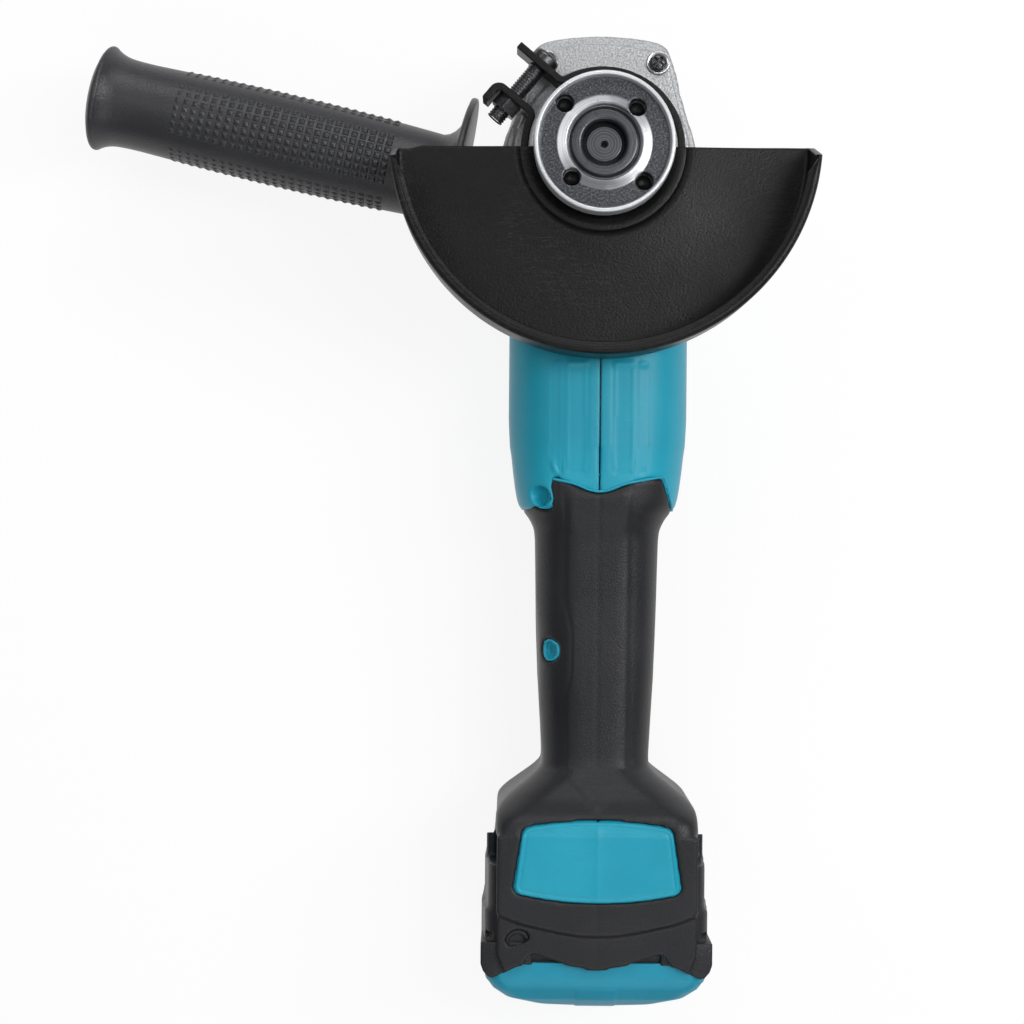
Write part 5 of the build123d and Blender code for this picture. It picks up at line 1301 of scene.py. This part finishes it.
def panelTop():
    # The plate's upper face: points laid on the foot, and the squares between them.
    look = panelLook
    distances, heights = zip(*look["border"])
    points, numbers = [], {}
    for line in range(int(look["length"] / look["step"]) + 1):
        y = look["startY"] - line * look["step"]
        for column in range(int(2 * look["gridHalf"] / look["step"]) + 1):
            x = -look["gridHalf"] + column * look["step"]
            inside = panelInside(x, y)
            hit = drop(skin, x, y)[0] if inside >= 0.0 else None
            if hit is None:
                continue
            rise = np.interp(inside, distances, heights)
            rise += look["ridge"] * math.exp(-abs(x) / look["ridgeReach"]) * min(inside / 2, 1)
            numbers[line, column] = len(points)
            points.append((x, y, hit.z + rise))
    faces = []
    for line, column in numbers:
        corners = [(line + 1, column), (line + 1, column + 1), (line, column + 1), (line, column)]
        if all(corner in numbers for corner in corners):
            faces.append(tuple(numbers[corner] for corner in corners))
    return points, faces


def panelMesh():
    # The upper face given some thickness.
    points, faces = panelTop()
    count = len(points)
    edges = dict.fromkeys((face[place], face[(place + 1) % 4]) for face in faces for place in range(4))
    rim = [(b, a, a + count, b + count) for a, b in edges if (b, a) not in edges]
    under = [tuple(index + count for index in reversed(face)) for face in faces]
    lowered = [(x, y, z - panelLook["thickness"]) for x, y, z in points]
    return meshFrom("footPanel", points + lowered, faces + under + rim)


newPiece("footPanel", panelMesh(), "tealPlastic", "tool")
print("foot panel made")

# Raised lip along the lower edge of the teal body
lipLook = {
    "edge": [(-15.0, -106.0), (-14.0, -106.2), (-8.0, -107.5), (-3.5, -109.3), (0, -109.9), (3.5, -109.3),
        (8.0, -107.5), (14.0, -106.2), (20.3, -105.2), (21.9, -106.6), (23.6, -112.0), (25.2, -117.2)],
    "radius": 0.45, "sunk": 0.12,
}


def draped(path, sunk):
    # A path laid on the outer surface, a little below it.
    laid = []
    for x, y in path:
        point, normal = drop(skin, x, y)
        if point is not None:
            laid.append(point - normal * sunk if normal.z > 0 else point + normal * sunk)
    return laid


edgeCurve = [(point.x, point.y) for point in eased([(x, y, 0) for x, y in lipLook["edge"]], 8)]
lipMesh = swept("tealLip", draped(edgeCurve, lipLook["sunk"]), lipLook["radius"])
newPiece("tealLip", lipMesh, "tealPlastic", "tool")
print("raised lip made")

# Floor, light and camera. A lamp has its name, place, size and power.
studio = {
    "floorSize": 6.0, "floorDrop": 0.0006, "floorColour": (0.85, 0.85, 0.85, 1), "floorShow": 0.88,
    "zenith": 0.44, "horizon": 0.08, "aim": (-0.01, -0.1, 0.03),
    "lamps": [
        ("lampRight", (0.55, 0.05, 0.85), (0.25, 0.8), 6.5),
        ("lampLeft", (-0.6, 0.2, 0.85), (0.3, 0.7), 1.4),
        ("lampNose", (0.0, 0.85, 0.7), (0.8, 0.3), 4.5),
        ("lampBattery", (0.1, -0.85, 0.75), (0.7, 0.3), 2.2),
    ],
    "lens": 67.2, "sensor": 36.0, "clip": 0.01, "cameraAt": (-0.02823, -0.11683, 0.6745), "cameraTurn": 0.5,
}


def buildFloor(scene):
    half, level = studio["floorSize"] / 2, cadBox[0][2] - studio["floorDrop"]
    corners = [(-half, -half, level), (half, -half, level), (half, half, level), (-half, half, level)]
    mesh = bpy.data.meshes.new("floor")
    mesh.from_pydata(corners, [], [(0, 1, 2, 3)])
    floor = bpy.data.objects.new("floor", mesh)
    scene.collection.objects.link(floor)
    made, tree = newMaterial("paleFloor")
    matt = addNode(tree, "ShaderNodeBsdfDiffuse", {"Color": studio["floorColour"]})
    lit = addNode(tree, "ShaderNodeEmission", {"Color": (1, 1, 1, 1), "Strength": 1.0})
    path = tree.nodes.new("ShaderNodeLightPath").outputs
    seen = maths(tree, "MAXIMUM", path["Is Glossy Ray"], path["Is Transmission Ray"])
    seen = maths(tree, "MAXIMUM", path["Is Camera Ray"], seen)
    share = maths(tree, "MULTIPLY", seen, studio["floorShow"])
    mixed = addNode(tree, "ShaderNodeMixShader", {0: share, 1: matt.outputs[0], 2: lit.outputs[0]})
    output = tree.nodes.new("ShaderNodeOutputMaterial")
    tree.links.new(mixed.outputs[0], output.inputs[0])
    mesh.materials.append(made)


def buildWorld(scene):
    # A pale room that is brighter overhead than round the sides.
    world = bpy.data.worlds.new("studioRoom")
    world.use_nodes = True
    tree = world.node_tree
    tree.nodes.clear()
    direction = tree.nodes.new("ShaderNodeTexCoord").outputs["Generated"]
    height = addNode(tree, "ShaderNodeSeparateXYZ", {0: direction}).outputs["Z"]
    level = ramp(tree, maths(tree, "ABSOLUTE", height), 0.15, 0.95, studio["horizon"], studio["zenith"])
    background = addNode(tree, "ShaderNodeBackground", {"Color": (1, 1, 1, 1), "Strength": level})
    output = tree.nodes.new("ShaderNodeOutputWorld")
    tree.links.new(background.outputs[0], output.inputs[0])
    scene.world = world


def buildLamps(scene):
    for name, place, size, power in studio["lamps"]:
        lamp = bpy.data.lights.new(name, "AREA")
        lamp.shape = "RECTANGLE"
        lamp.size, lamp.size_y = size
        lamp.energy = power
        shown = bpy.data.objects.new(name, lamp)
        shown.location = place
        towards = Vector(studio["aim"]) - Vector(place)
        shown.rotation_euler = towards.to_track_quat("-Z", "Y").to_euler()
        scene.collection.objects.link(shown)


def buildCamera(scene):
    lens = bpy.data.cameras.new("camera")
    lens.lens = studio["lens"]
    lens.sensor_width = studio["sensor"]
    lens.clip_start = studio["clip"]
    camera = bpy.data.objects.new("camera", lens)
    camera.location = studio["cameraAt"]
    camera.rotation_euler = (0, 0, math.radians(studio["cameraTurn"]))
    scene.collection.objects.link(camera)
    scene.camera = camera


for build in (buildFloor, buildWorld, buildLamps, buildCamera):
    build(bpy.context.scene)
bpy.context.scene.view_settings.view_transform = "Standard"
print("studio and camera placed")
